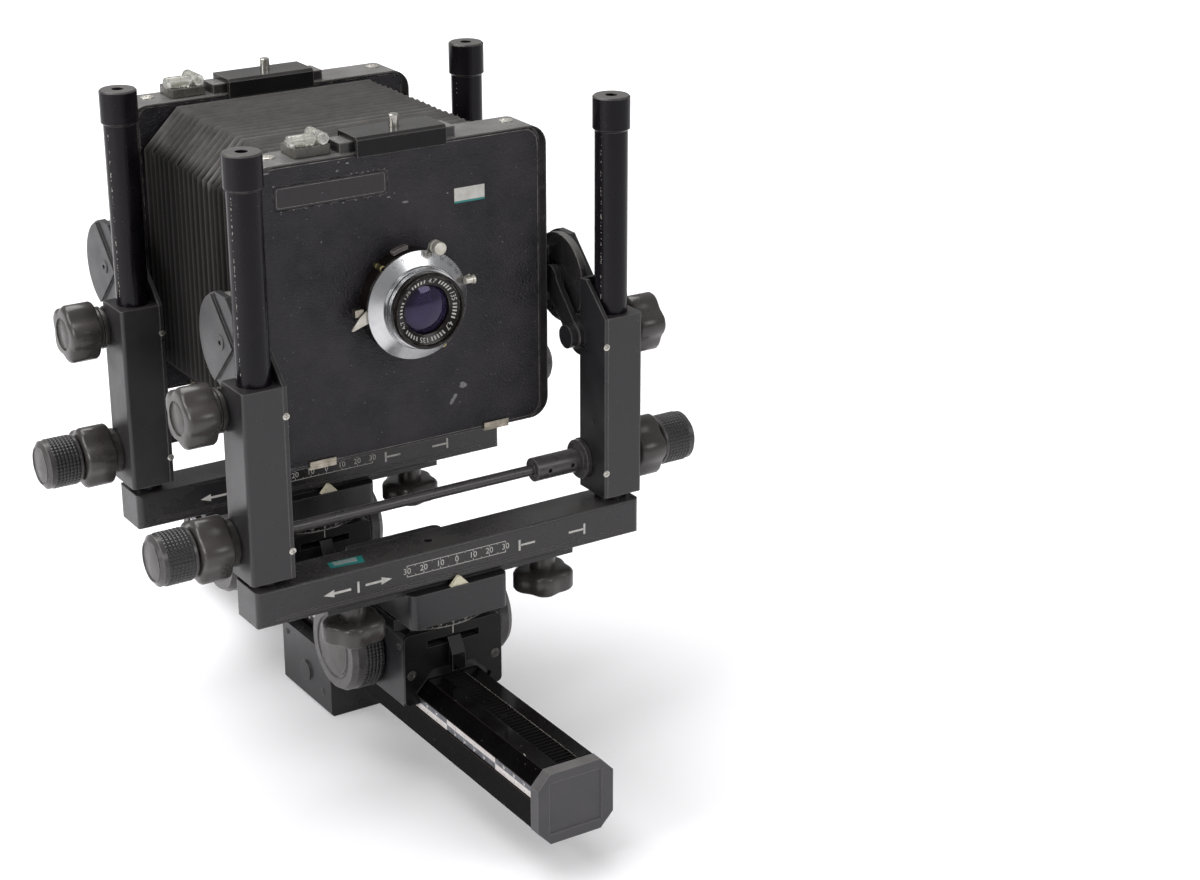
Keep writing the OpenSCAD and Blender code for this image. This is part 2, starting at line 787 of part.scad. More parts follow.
module clamp_arm() {
    reach = [axis_setback - clamp_back, pivot_z - clamp_z];
    difference() {
        union() {
            along_x(arm_x, arm_x + arm_t) translate([clamp_back, clamp_z]) {
                circle(7.5);
                translate(reach) circle(7.5);
                rotate(atan2(reach.y, reach.x)) translate([0, -6]) square([norm(reach), 12]);
            }
            rod_x(arm_x - 4.8, arm_x + 1, clamp_back, clamp_z, 13);
            rod_x(arm_x + 1, disc_x - slide, axis_setback, pivot_z, 14);
            rod_x(arm_x, outer_plate_x + outer_plate_t + 2, axis_setback, pivot_z, pivot_d);
        }
        rod_x(arm_x - 2, arm_x + arm_t + 1, clamp_back, clamp_z, clamp_d + 2 * fit);
        rod_x(outer_plate_x + 1, outer_plate_x + 9, axis_setback, pivot_z, 3);
    }
}

module riser_plates() {
    color("#29292b") both_sides() {
        riser_plate();
        clamp_arm();
    }
}

// Rise shaft with a pinion in each riser, coupling sleeve and two knobs
module rise_drive() {
    ring_out = riser_out + 22.7;
    knob_out = ring_out + 21;
    r = rise_knob_d / 2;
    color("#2d2d2f") {
        rod_x(-ring_out - 2, ring_out + 2, rise_y, rise_z, rise_shaft_d);
        both_sides() {
            translate([0, rise_y, rise_z]) along_x(column_x - 4, column_x + 4)
                rotate(180 - 180 / rise_teeth) polygon(gear(rise_teeth, rise_module, tooth_backlash));
            turned_x(rise_y, rise_z) polygon([[0, ring_out + 0.5], [r - 0.8, ring_out + 0.5],
                [r, ring_out + 1.3], [r, knob_out - 1.6], [r * 0.82, knob_out], [0, knob_out]]);
        }
        // Coupling sleeve with two set-screw holes, right side
        difference() {
            rod_x(riser_in - 32, riser_in - 2.5, rise_y, rise_z, 13.3);
            for (dx = [-24.5, -10]) translate([riser_in + dx, rise_y - 8, rise_z])
                rotate([-90, 0, 0]) cylinder(h = 4, d = 2.6);
        }
        rod_x(riser_in - 3, riser_in - slide, rise_y, rise_z, 22);
        rod_x(-riser_in + slide, -riser_in + 3, rise_y, rise_z, 16);
    }
}

// Lobed ring that locks the rise shaft, right side
module rise_lock() {
    x0 = riser_out + slide;
    color("#303032") translate([0, rise_y, rise_z]) rotate([0, 90, 0]) difference() {
        union() {
            translate([0, 0, x0]) cylinder(h = 6, d = 25);
            lobed_knob(lock_ring_d, x0 + 3.9, x0 + 21.9);
        }
        translate([0, 0, x0 - 1]) cylinder(h = 24, d = rise_shaft_d + 2 * fit);
    }
}

// Lobed knob and screw that clamp the tilt, right side
module tilt_knob() {
    x0 = riser_out + slide;
    color("#313133") translate([0, clamp_back, clamp_z]) rotate([0, 90, 0]) difference() {
        union() {
            translate([0, 0, arm_x - 1]) cylinder(h = x0 - arm_x + 2, d = clamp_d);
            rotate_extrude() polygon([[0, x0], [10, x0], [10, x0 + 1.2], [11.7, x0 + 1.6], [11.7, x0 + 3],
                [10.6, x0 + 3.4], [11.7, x0 + 3.8], [11.7, x0 + 5.5], [0, x0 + 5.5]]);
            lobed_knob(tilt_knob_d, x0 + 5.4, x0 + 23.4);
        }
        translate([0, 0, x0 + 22.6]) cylinder(h = 2, d = 18);
    }
}

// ---- Frame: turns between the risers, holds a board in front and one behind

strip_t = arm_x - slide - frame_x;
lock_x0 = -35;
lock_x1 = 32;
lock_h = 5.7;
frame_top = frame_z + frame_h / 2;
frame_bottom = frame_z - frame_h / 2;

module board_recess(y0, y1) {
    h = board / 2 + slide;
    along_y(y0, y1) rounded(-h, h, frame_z - h, frame_z + h, board_r + slide);
}

module frame() {
    w = window / 2;
    color("#2a2a2c") {
        difference() {
            along_y(frame_y0, frame_y1) rounded(-frame_x, frame_x, frame_bottom, frame_top, frame_r);
            along_y(frame_y0 - 1, frame_y1 + 1) rounded(-w, w, frame_z - w, frame_z + w, 3);
            board_recess(frame_y0 - 1, frame_y0 + recess);
            board_recess(frame_y1 - recess, frame_y1 + 1);
        }
        both_sides() tilt_bracket();
        // Fixed rail of the board lock
        box(lock_x0, lock_x1, frame_y0 + 2, frame_y0 + 16, frame_top + seam, frame_top + lock_h);
    }
    // Steel clips under the board
    color("#b5ad9d") for (x = [-61, 44.7]) along_x(x, x + 15.4) polygon([
        [board_y0 - 1.2, frame_bottom + 3.6], [board_y0 - 1.2, frame_bottom - 0.8],
        [frame_y0 + 9, frame_bottom - 0.8], [frame_y0 + 9, frame_bottom - seam],
        [board_y0 - 0.4, frame_bottom - seam], [board_y0 - 0.4, frame_bottom + 3.6]]);
}

// Strip on the side of the frame, web and tilt disc
module tilt_bracket() {
    z0 = pivot_z - 21;
    z1 = pivot_z + 35;
    difference() {
        union() {
            along_z(z0, z1) polygon([[frame_x + seam, frame_y0 + 3], [frame_x + strip_t, frame_y0 + 6],
                [frame_x + strip_t, frame_y1 - 2], [frame_x + seam, frame_y1 - 2]]);
            box(frame_x + seam, disc_x + 1, axis_setback + 9.5, frame_y1 - 2, pivot_z - 15, pivot_z + 15);
            along_x(disc_x, disc_x + disc_t) translate([axis_setback, pivot_z]) circle(disc_r);
        }
        rod_x(disc_x - 1, disc_x + disc_t + 1, axis_setback, pivot_z, pivot_d + 2 * fit);
    }
}

// Channel that slides along the top of the frame and traps the board
module board_lock() {
    x0 = lock_x0 + 7.5;
    x1 = lock_x1 - 7.5;
    y0 = frame_y0 + 2;
    y1 = frame_y0 + 16;
    z = frame_top + lock_h;
    lip = board_y0 - slide;
    color("#1e1e20") along_x(x0, x1) polygon([[lip - 2.2, frame_top - 2], [lip, frame_top - 2],
        [lip, frame_top - 0.4], [lip, z + slide], [y1 + slide, z + slide], [y1 + slide, frame_top + 1.5],
        [y1 + 2.4, frame_top + 1.5], [y1 + 2.4, z + 2.8], [lip - 0.6, z + 2.8], [lip - 2.2, z + 1.2]]);
    color("#c4c4c2") translate([0, (y0 + y1) / 2, z + 2.8 - eps]) rotate_extrude()
        polygon([[0, 0], [1.5, 0], [1.5, 3.4], [2, 3.8], [2, 5.4], [1.5, 5.9], [0, 5.9]]);
}

// Moulded base with two clear level vials at right angles
module level() {
    x0 = -58.4;
    x1 = lock_x0 + 2.6 - 2;
    y0 = frame_y0 + 5;
    y1 = frame_y1 - 2;
    color("#242426") box(x0, x1 - 1, y0, y1, frame_top, frame_top + 5.5);
    color("#dfe3e0") {
        rod_x(x0 + 0.5, x1 - 9, y0 + 4.5, frame_top + 8.4, 6.4);
        rod_y(y0 + 0.5, y1 - 0.5, x1 - 5, frame_top + 8.4, 6.4);
    }
}

module bellows_panel() {
    w = board / 2;
    hole = bellows_w / 2 - fold_depth - 4;
    color("#1b1b1c") along_y(0, board_t) difference() {
        rounded(-w, w, frame_z - w, frame_z + w, board_r);
        rounded(-hole, hole, frame_z - hole, frame_z + hole, 3);
    }
}

// ---- Lens board, shutter and lens

barrel_d = 35;
barrel_wall = 2.2;
barrel_back = 8;
shutter_front = board_y0 - shutter_h;
lever_t = 0.7;
boss_d = cell_d - 0.6;
ring_y0 = shutter_front - 1 - 5;
cell_h = 10;

module lens_board() {
    w = board / 2;
    color("#1d1d1f") difference() {
        along_y(board_y0, board_y0 + board_t) rounded(-w, w, frame_z - w, frame_z + w, board_r);
        rod_y(board_y0 - 1, board_y0 + board_t + 1, 0, frame_z, barrel_d);
        // Sunk place for a nameplate, left bare
        along_y(board_y0 - 1, board_y0 + 0.6)
            rounded(7.2 - w, 71.6 - w, frame_z + w - 22.3, frame_z + w - 9.5, 2);
    }
}

// Shutter case with its threaded barrel, boss for the speed ring and locking ring
module shutter() {
    back = board_y0 + board_t;
    r = shutter_d / 2;
    bore = barrel_d / 2 - barrel_wall;
    color("#1a1a1b") turned_y(0, frame_z) polygon([
        [bore, -back - barrel_back], [barrel_d / 2, -back - barrel_back],
        [barrel_d / 2, -board_y0], [r, -board_y0], [r, -shutter_front - 0.8], [r - 0.8, -shutter_front],
        [boss_d / 2, -shutter_front], [boss_d / 2, -ring_y0], [bore, -ring_y0]]);
    color("#39393b") translate([0, 0, frame_z]) rotate([90, 0, 0]) translate([0, 0, -back - 3])
        difference() {
            cylinder(h = 3, d = barrel_d + 9);
            translate([0, 0, -1]) cylinder(h = 5, d = barrel_d);
        }
    // Flash posts on the rim, behind the speed ring
    tip = shutter_front - lever_t - 0.2;
    color("#c9c5b6") for (p = [[-18.7, 21.8], [16.3, -26]])
        rod_y(tip, tip + 5, p.x * (r + 0.4) / norm(p), frame_z + p.y * (r + 0.4) / norm(p), 3);
}

module speed_ring() {
    r = ring_d / 2;
    y1 = shutter_front - lever_t - 0.5;
    inner = boss_d / 2 + fit;
    color("#c8c8c6") turned_y(0, frame_z) polygon([[inner, -y1], [r, -y1], [r, -y1 + 1.2],
        [inner + 1.2, -ring_y0 - 0.2], [inner, -ring_y0 - 0.2]]);
}

// Lever plate behind the speed ring: an arc about the lens axis with an arm
module lever(a, reach, width) {
    y1 = shutter_front - 0.2;
    inner = boss_d / 2 + fit;
    translate([0, 0, frame_z]) rotate([0, -a, 0]) along_y(y1 - lever_t + 0.1, y1) {
        difference() {
            circle(r = inner + 4);
            circle(r = inner);
            for (turn = [14, -14 - 180]) rotate(turn) translate([-60, 0]) square([120, 60]);
        }
        translate([inner + 2, -width / 2]) square([reach - inner - 2, width]);
    }
}

module lever_peg(a, reach, d, y0) {
    rod_y(y0, shutter_front - 0.3, reach * cos(a), frame_z + reach * sin(a), d);
}

module cocking_lever() {
    color("#cfcabb") {
        lever(66.5, 32, 3.6);
        lever_peg(66.5, ring_d / 2 + 3.1, 5.8, shutter_front - 7);
    }
}

module release_lever() {
    color("#c9c9c7") lever(193, 38, 2.6);
}

module aperture_lever() {
    color("#cfcabb") {
        lever(15.3, 33.4, 3);
        lever_peg(15.3, 32, 3.4, shutter_front - 4.5);
    }
}

cell_front = ring_y0 - slide - cell_h;

module lens_cells() {
    bore = barrel_d - 2 * barrel_wall;
    tail = board_y0 + board_t + barrel_back;
    color("#161617") {
        turned_y(0, frame_z) polygon([[glass_d / 2, -cell_front - 5.5], [cell_d / 2 - 1.6, -cell_front],
            [cell_d / 2 - 0.6, -cell_front], [cell_d / 2, -cell_front - 0.6], [cell_d / 2, -ring_y0 + slide],
            [bore / 2, -ring_y0 + slide], [bore / 2, -ring_y0 - 6], [glass_d / 2, -ring_y0 - 6]]);
        turned_y(0, frame_z) polygon([[glass_d / 2, -tail + 8], [bore / 2, -tail + 8],
            [bore / 2, -tail - 0.1], [bore / 2 + 2, -tail - 0.1], [bore / 2 + 2, -tail - 7], [glass_d / 2, -tail - 7]]);
    }
}

// Front and rear lens groups: two turned domes
module lens_glass() {
    r = glass_d / 2;
    tail = board_y0 + board_t + barrel_back;
    color("#20203a") {
        turned_y(0, frame_z) polygon(concat([[0, -cell_front - 11], [r, -cell_front - 11]],
            arc(0, -cell_front - 6.2 - 32, 32, asin(r / 32) * -1 + 90, 90, 12)));
        turned_y(0, frame_z) polygon([[0, -tail - 5], [r, -tail - 5], [r, -tail - 1], [0, -tail - 1]]);
    }
}

// ---- Bellows

bellows_y0 = frame_y1 - recess + board_t;
bellows_y1 = standard_gap + board_y0;

// Octagonal ring of the bellows: square with mitred corners, half width h
function bellows_ring(y, h) = let (c = h - 15) [
    for (p = [[h, -c], [h, c], [c, h], [-c, h], [-h, c], [-h, -c], [-c, -h], [c, -h]])
        [p.x, y, frame_z + p.y]];

module bellows() {
    rings = 2 * folds;
    outer = bellows_w / 2;
    wall = 1.2;
    step = (bellows_y1 - bellows_y0) / rings;
    outside = [for (i = [0 : rings]) each bellows_ring(bellows_y0 + i * step,
        outer - (i % 2 == 0 ? fold_depth : 0))];
    inside = [for (i = [0 : rings]) each bellows_ring(bellows_y0 + i * step,
        outer - wall - (i % 2 == 0 ? fold_depth : 0))];
    n = len(outside);
    last = rings * 8;
    color("#161616") polyhedron(points = concat(outside, inside), faces = concat(
        [for (i = [0 : rings - 1], k = [0 : 7]) let (a = i * 8 + k, b = i * 8 + (k + 1) % 8)
            each [[a, b, b + 8], [a, b + 8, a + 8], [n + a, n + b + 8, n + b],
                [n + a, n + a + 8, n + b + 8]]],
        [for (k = [0 : 7]) let (j = (k + 1) % 8) each [[k, n + k, n + j], [k, n + j, j],
            [last + k, last + j, n + last + j], [last + k, n + last + j, n + last + k]]]));
}

// ---- Spring back with its ground glass

back_y0 = frame_y1 - recess;
back_w = picture_w + 31;
back_h = picture_h + 32;
panel_t = recess + 2;

spring_y = back_y0 + panel_t;
glass_t = 2;
leaf_bow = 3;
leaf_span = board / 2 - 8;
leaf_r = (leaf_span * leaf_span + leaf_bow * leaf_bow) / (2 * leaf_bow);
leaf_x = back_w / 2 - 5;
leaf_y = spring_y + back_t + slide;
leaf_post_d = 7;
leaf_post_z = leaf_span - 4;

// Tips of the posts: where the bowed leaf crosses their inner edges
leaf_post_y = leaf_y + leaf_r - sqrt(leaf_r * leaf_r - pow(leaf_post_z - leaf_post_d / 2, 2)) - 2 * seam;

// Fixed panel of the back, with four posts for the leaf springs
module reversing_back() {
    w = board / 2;
    color("#232325") {
        along_y(back_y0, spring_y) difference() {
            rounded(-w, w, frame_z - w, frame_z + w, board_r);
            picture_opening(0);
        }
        for (side = [-1, 1], end = [-1, 1])
            rod_y(spring_y - 1, leaf_post_y, side * leaf_x, frame_z + end * leaf_post_z, leaf_post_d);
    }
}

module picture_opening(g) {
    translate([-picture_w / 2 - g, frame_z - picture_h / 2 - g])
        square([picture_w + 2 * g, picture_h + 2 * g]);
}

module spring_back() {
    color("#2b2b2d") difference() {
        along_y(spring_y, spring_y + back_t)
            rounded(-back_w / 2, back_w / 2, frame_z - back_h / 2, frame_z + back_h / 2, 4);
        along_y(spring_y - 1, spring_y + back_t + 1) picture_opening(0);
        along_y(spring_y + back_t - 4, spring_y + back_t + 1) picture_opening(3);
    }
}

module ground_glass() {
    color("#b9c0be") along_y(spring_y + back_t - 4, spring_y + back_t - 4 + glass_t) picture_opening(2.8);
}

// Bowed leaf springs on the posts, pressing the spring back home
module back_springs() {
    r = leaf_r;
    a = asin(leaf_span / r);
    color("#9a9a98") both_sides() along_x(leaf_x - 4, leaf_x + 4) translate([leaf_y + r, frame_z])
        polygon(concat(arc(0, 0, r, 180 - a, 180 + a, 16), arc(0, 0, r - 0.7, 180 + a, 180 - a, 16)));
}

placed() rail();
placed() rail_end_caps();
placed() rail_scales();
placed() tripod_block();
placed() tripod_clamp_knob();
placed() carriage();  // front_carriage
placed() carriage_plates();  // front_carriage_plates
placed() focus_drive(0);  // front_focus_drive
placed() latch();  // front_latch
placed() swing_table();  // front_swing_table
placed() carrier();  // front_carrier
placed() under_knob(-swing_lock_x);  // front_swing_lock_knob
placed() under_knob(shift_lock_x);  // front_shift_lock_knob
placed() base_bar();  // front_base_bar
placed() columns();  // front_columns
placed() risers();  // front_risers
placed() riser_plates();  // front_riser_plates
placed() rise_drive();  // front_rise_drive
placed() left_side() rise_lock();  // front_rise_lock_left
placed() rise_lock();  // front_rise_lock_right
placed() left_side() tilt_knob();  // front_tilt_knob_left
placed() tilt_knob();  // front_tilt_knob_right
placed() frame();  // front_frame
placed() board_lock();  // front_board_lock
placed() level();  // front_level
placed() translate([0, back_y0, 0]) bellows_panel();  // front_bellows_panel
placed() lens_board();
placed() shutter();
placed() speed_ring();
placed() cocking_lever();
placed() release_lever();
placed() aperture_lever();
placed() lens_cells();
placed() lens_glass();
placed() bellows();
placed() to_rear() carriage();  // rear_carriage
placed() to_rear() carriage_plates();  // rear_carriage_plates
placed() to_rear()  // rear_focus_drive
    focus_drive(-standard_gap / focus_r * 180 / PI);
placed() to_rear() latch();  // rear_latch
placed() to_rear() swing_table();  // rear_swing_table
placed() to_rear() carrier();  // rear_carrier
placed() to_rear() under_knob(-swing_lock_x);  // rear_swing_lock_knob
placed() to_rear() under_knob(shift_lock_x);  // rear_shift_lock_knob
placed() to_rear() base_bar();  // rear_base_bar
placed() to_rear() columns();  // rear_columns
placed() to_rear() risers();  // rear_risers
placed() to_rear() riser_plates();  // rear_riser_plates
placed() to_rear() rise_drive();  // rear_rise_drive
placed() to_rear() left_side() rise_lock();  // rear_rise_lock_left
placed() to_rear() rise_lock();  // rear_rise_lock_right
placed() to_rear() left_side() tilt_knob();  // rear_tilt_knob_left
placed() to_rear() tilt_knob();  // rear_tilt_knob_right
placed() to_rear() frame();  // rear_frame
placed() to_rear() board_lock();  // rear_board_lock
placed() to_rear() level();  // rear_level
placed() to_rear()  // rear_bellows_panel
    translate([0, board_y0, 0]) bellows_panel();
placed() to_rear() reversing_back();
placed() to_rear() spring_back();
placed() to_rear() ground_glass();
placed() to_rear() back_springs();
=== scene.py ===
import math

import bmesh
import bpy
import numpy as np
from mathutils import Matrix, Vector


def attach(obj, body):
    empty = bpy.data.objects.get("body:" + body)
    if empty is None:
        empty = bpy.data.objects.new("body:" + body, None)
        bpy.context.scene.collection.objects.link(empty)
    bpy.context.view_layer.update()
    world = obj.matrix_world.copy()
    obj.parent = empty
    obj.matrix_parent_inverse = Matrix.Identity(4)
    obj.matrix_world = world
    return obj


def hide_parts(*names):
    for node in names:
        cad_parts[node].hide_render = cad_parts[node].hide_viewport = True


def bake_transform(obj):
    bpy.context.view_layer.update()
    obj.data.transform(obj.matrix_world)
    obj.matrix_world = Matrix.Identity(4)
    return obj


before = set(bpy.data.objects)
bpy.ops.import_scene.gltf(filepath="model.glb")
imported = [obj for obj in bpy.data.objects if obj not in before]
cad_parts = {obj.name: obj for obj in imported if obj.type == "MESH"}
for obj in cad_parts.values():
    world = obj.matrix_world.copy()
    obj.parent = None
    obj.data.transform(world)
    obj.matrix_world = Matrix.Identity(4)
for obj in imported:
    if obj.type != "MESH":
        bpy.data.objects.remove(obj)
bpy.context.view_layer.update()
mm = 0.001
columnAxis = np.array([0, -113.5, 0])    # the front columns stand this far ahead of the tripod socket
standards = {"front": 0.0, "rear": 151.0}    # each standard's column axis along the rail, in mm
lensHeight = 260.3
random = np.random.default_rng(7)
print("frame loaded:", len(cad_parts), "nodes")


def linear(hexColour):
    # sRGB hex to linear light: c / 12.92 below the knee, ((c + 0.055) / 1.055) ^ 2.4 above it
    channels = np.array([int(hexColour[i:i + 2], 16) for i in (1, 3, 5)]) / 255
    curve = np.where(channels <= 0.04045, channels / 12.92, ((channels + 0.055) / 1.055) ** 2.4)
    return (*curve.tolist(), 1.0)


def addNode(tree, kind, inputs=None, **settings):
    # inputs maps a socket's name or number to a value or to another node's output
    node = tree.nodes.new("ShaderNode" + kind)
    for name, value in settings.items():
        setattr(node, name, value)
    for name, value in (inputs or {}).items():
        if isinstance(value, bpy.types.NodeSocket):
            tree.links.new(value, node.inputs[name])
        else:
            node.inputs[name].default_value = value
    return node


def addObject(name, data):
    thing = bpy.data.objects.new(name, data)
    bpy.context.scene.collection.objects.link(thing)
    return thing


def newMaterial(name):
    material = bpy.data.materials.new(name)
    material.use_nodes = True
    material.node_tree.nodes.clear()
    return material, material.node_tree


def gridFaces(rows, columns, wrap=False):
    # quads between neighbouring rows and columns of a grid of points
    last = columns if wrap else columns - 1
    i, j = np.meshgrid(np.arange(rows - 1), np.arange(last), indexing="ij")
    k = (j + 1) % columns
    return np.stack([i * columns + j, (i + 1) * columns + j, (i + 1) * columns + k, i * columns + k],
                    -1).reshape(-1, 4).tolist()


def joined(shapes):
    # one shape from several: the points in a row, each face's numbers moved on by the points before it
    points, faces, start = [], [], 0
    for shapePoints, shapeFaces in shapes:
        points.append(np.asarray(shapePoints, float))
        faces += [[start + v for v in face] for face in shapeFaces]
        start += len(shapePoints)
    return np.concatenate(points), faces


def addPiece(name, shape, look, body, solid=True, angle=35):
    # points are in mm from the front column axis; a closed shell is merged and its faces turned outwards
    points, faces = shape
    mesh = bpy.data.meshes.new(name)
    mesh.from_pydata(((np.asarray(points) + columnAxis) * mm).tolist(), [], faces)
    if solid:
        work = bmesh.new()
        work.from_mesh(mesh)
        bmesh.ops.remove_doubles(work, verts=work.verts, dist=1e-6)
        bmesh.ops.recalc_face_normals(work, faces=work.faces)
        work.to_mesh(mesh)
        work.free()
    mesh.polygons.foreach_set("use_smooth", np.ones(len(mesh.polygons), bool))
    mesh.set_sharp_from_angle(angle=math.radians(angle))
    mesh.materials.append(finishes[look])
    piece = addObject(name, mesh)
    if body:
        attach(piece, body)
    return piece


def turned(profile, axis, centre, steps=96, ripple=None, loop=False):
    # profile of (along, radius) carried round the axis; ripple(along, angle, radius) is added to radius
    along, radius = np.array(list(profile) + [profile[0]] * loop, float).T
    angle = np.arange(steps) * 2 * np.pi / steps
    grown = radius[:, None] + (ripple(along[:, None], angle[None, :], radius[:, None]) if ripple else 0)
    first, second = grown * np.cos(angle), grown * np.sin(angle)
    level = along[:, None] + 0 * angle
    order = {"x": (level, first, second), "y": (first, level, second), "z": (first, second, level)}[axis]
    points = np.stack([part + offset for part, offset in zip(order, centre)], -1).reshape(-1, 3)
    return points, gridFaces(len(along), steps, wrap=True)


def facing(side, centre=(0, 0, 0)):
    # turns (u, v, w) on a flat face into x, y, z: u to the right, v up and w out of the face
    axes = {"front": [[1, 0, 0], [0, 0, 1], [0, -1, 0]], "back": [[-1, 0, 0], [0, 0, 1], [0, 1, 0]],
            "left": [[0, -1, 0], [0, 0, 1], [-1, 0, 0]], "right": [[0, 1, 0], [0, 0, 1], [1, 0, 0]],
            "top": [[1, 0, 0], [0, 1, 0], [0, 0, 1]]}[side]
    return lambda points: np.asarray(centre) + np.asarray(points, float) @ np.array(axes, float)


def wrapped(centre, radius):
    # bends (u, v, w) round an upright cylinder: u is arc length from its front, v height, w out of it
    def place(points):
        u, v, w = np.asarray(points, float).T
        turn = u / radius
        return np.column_stack([centre[0] + (radius + w) * np.sin(turn),
                                centre[1] - (radius + w) * np.cos(turn), centre[2] + v])
    return place


def prism(outline, low, high, place):
    # outline of (u, v) carried from low to high along w; place turns (u, v, w) into x, y, z
    outline = np.array(outline, float)
    count = len(outline)
    both = np.concatenate([np.column_stack([outline, np.full(count, w)]) for w in (low, high)])
    ring = np.arange(count)
    after = (ring + 1) % count
    sides = np.stack([ring, after, after + count, ring + count], -1).tolist()
    return place(both), sides + [ring[::-1].tolist(), (ring + count).tolist()]


def roundedOutline(u0, u1, v0, v1, radius, steps=6):
    # rectangle with its corners as quarter circles
    quarter = np.linspace(0, np.pi / 2, steps)
    corners = [(u1 - radius, v1 - radius, 0), (u0 + radius, v1 - radius, 1),
               (u0 + radius, v0 + radius, 2), (u1 - radius, v0 + radius, 3)]
    return np.concatenate([np.column_stack([u + radius * np.cos(quarter + turn * np.pi / 2),
                                            v + radius * np.sin(quarter + turn * np.pi / 2)])
                           for u, v, turn in corners])


def bar(u0, v0, u1, v1):
    return np.array([[u0, v0], [u1, v0], [u1, v1], [u0, v1]], float)


def blotch(u, v, width, height, corners=11):
    # irregular patch: an ellipse whose radius wanders
    angle = np.arange(corners) * 2 * np.pi / corners
    reach = 0.65 + 0.5 * random.random(corners)
    return np.column_stack([u + width / 2 * reach * np.cos(angle),
                            v + height / 2 * reach * np.sin(angle)])


def inked(outlines, place, thick=0.05):
    # thin plates of paint on a face
    return [prism(outline, -0.02, thick, place) for outline in outlines]


def addInk(name, outlines, place, look, body, thick=0.05):
    addPiece(name, joined(inked(outlines, place, thick)), look, body)


def digits(text, height, u, v, place):
    # the built-in typeface as closed shapes, centred on (u, v)
    curve = bpy.data.curves.new("digits", "FONT")
    curve.body, curve.size, curve.extrude, curve.resolution_u = text, height / 0.7, 0.03, 3
    curve.align_x, curve.align_y = "CENTER", "CENTER"
    holder = addObject("digits", curve)
    bpy.context.view_layer.update()
    mesh = bpy.data.meshes.new_from_object(holder.evaluated_get(bpy.context.evaluated_depsgraph_get()))
    points = np.zeros(len(mesh.vertices) * 3)
    mesh.vertices.foreach_get("co", points)
    points = points.reshape(-1, 3)
    faces = [list(face.vertices) for face in mesh.polygons]
    bpy.data.objects.remove(holder)
    bpy.data.meshes.remove(mesh)
    return place(points + [u, v, 0.02]), faces


def screwShape(place, radius, tall, cross, sunk=0.8):
    # pan head as height over a polar grid: a dome less a cross or a six-sided socket
    r = np.concatenate([[0], np.linspace(0.08, 1, 12), [1, 0]])[:, None]
    angle = (np.arange(48) * 2 * np.pi / 48)[None, :]
    u, v = r * np.cos(angle), r * np.sin(angle)
    dome = tall * np.sqrt(np.clip(1 - 0.75 * r ** 2, 0, 1))
    if cross:
        arms = np.maximum((abs(u) < 0.13) * (abs(v) < 0.6), (abs(v) < 0.13) * (abs(u) < 0.6))
    else:
        arms = np.maximum(np.maximum(abs(v), abs(0.5 * v + 0.866 * u)), abs(0.5 * v - 0.866 * u)) < 0.42
    w = dome - arms * sunk * tall
    w[-2:] = -0.4
    points = np.stack([u * radius, v * radius, w], -1).reshape(-1, 3)
    return place(points), gridFaces(len(r), 48, wrap=True)


def noise(tree, coords, size, detail, roughness=0.5):
    # features about size mm wide
    return addNode(tree, "TexNoise", {"Vector": coords, "Scale": 1 / (size * mm), "Detail": detail,
                                      "Roughness": roughness}).outputs[0]


def ranged(tree, value, first, last, low=0.0, high=1.0):
    # carries first to last over to low to high, and holds it at both ends
    return addNode(tree, "MapRange", {0: value, 1: first, 2: last, 3: low, 4: high}).outputs[0]


def combined(tree, operation, first, second):
    return addNode(tree, "Math", {0: first, 1: second}, operation=operation).outputs[0]


def mixed(tree, share, first, second):
    # first where share is 0, second where it is 1; each is a hex colour or the output of a node
    first, second = (linear(part) if isinstance(part, str) else part for part in (first, second))
    return addNode(tree, "Mix", {0: share, 6: first, 7: second}, data_type="RGBA").outputs[2]


def edgeShare(tree, width, first, last):
    # 0 on a flat face and 1 at an edge, from the cosine between the face and a rounded edge's normal
    rounded = addNode(tree, "Bevel", {"Radius": width * mm}, samples=4)
    face = addNode(tree, "NewGeometry")
    match = addNode(tree, "VectorMath", {0: rounded.outputs[0], 1: face.outputs["Normal"]},
                    operation="DOT_PRODUCT")
    return ranged(tree, match.outputs["Value"], first, last)


# what a look has unless it says otherwise; lengths are in mm
common = dict(cloud=18, spread=0.08, speck=0.8, dustColour="#8d8a86", rubWidth=0.9, rubColour="#8f8b87",
              edgeWidth=0.5, bare="#8f8a84", topFrom=0.35, topTo=0.95, topColour="#8a8784", grain=0.3,
              bump=0.05, depth=0.1, metal=0.0, ior=1.5, specular=0.5)


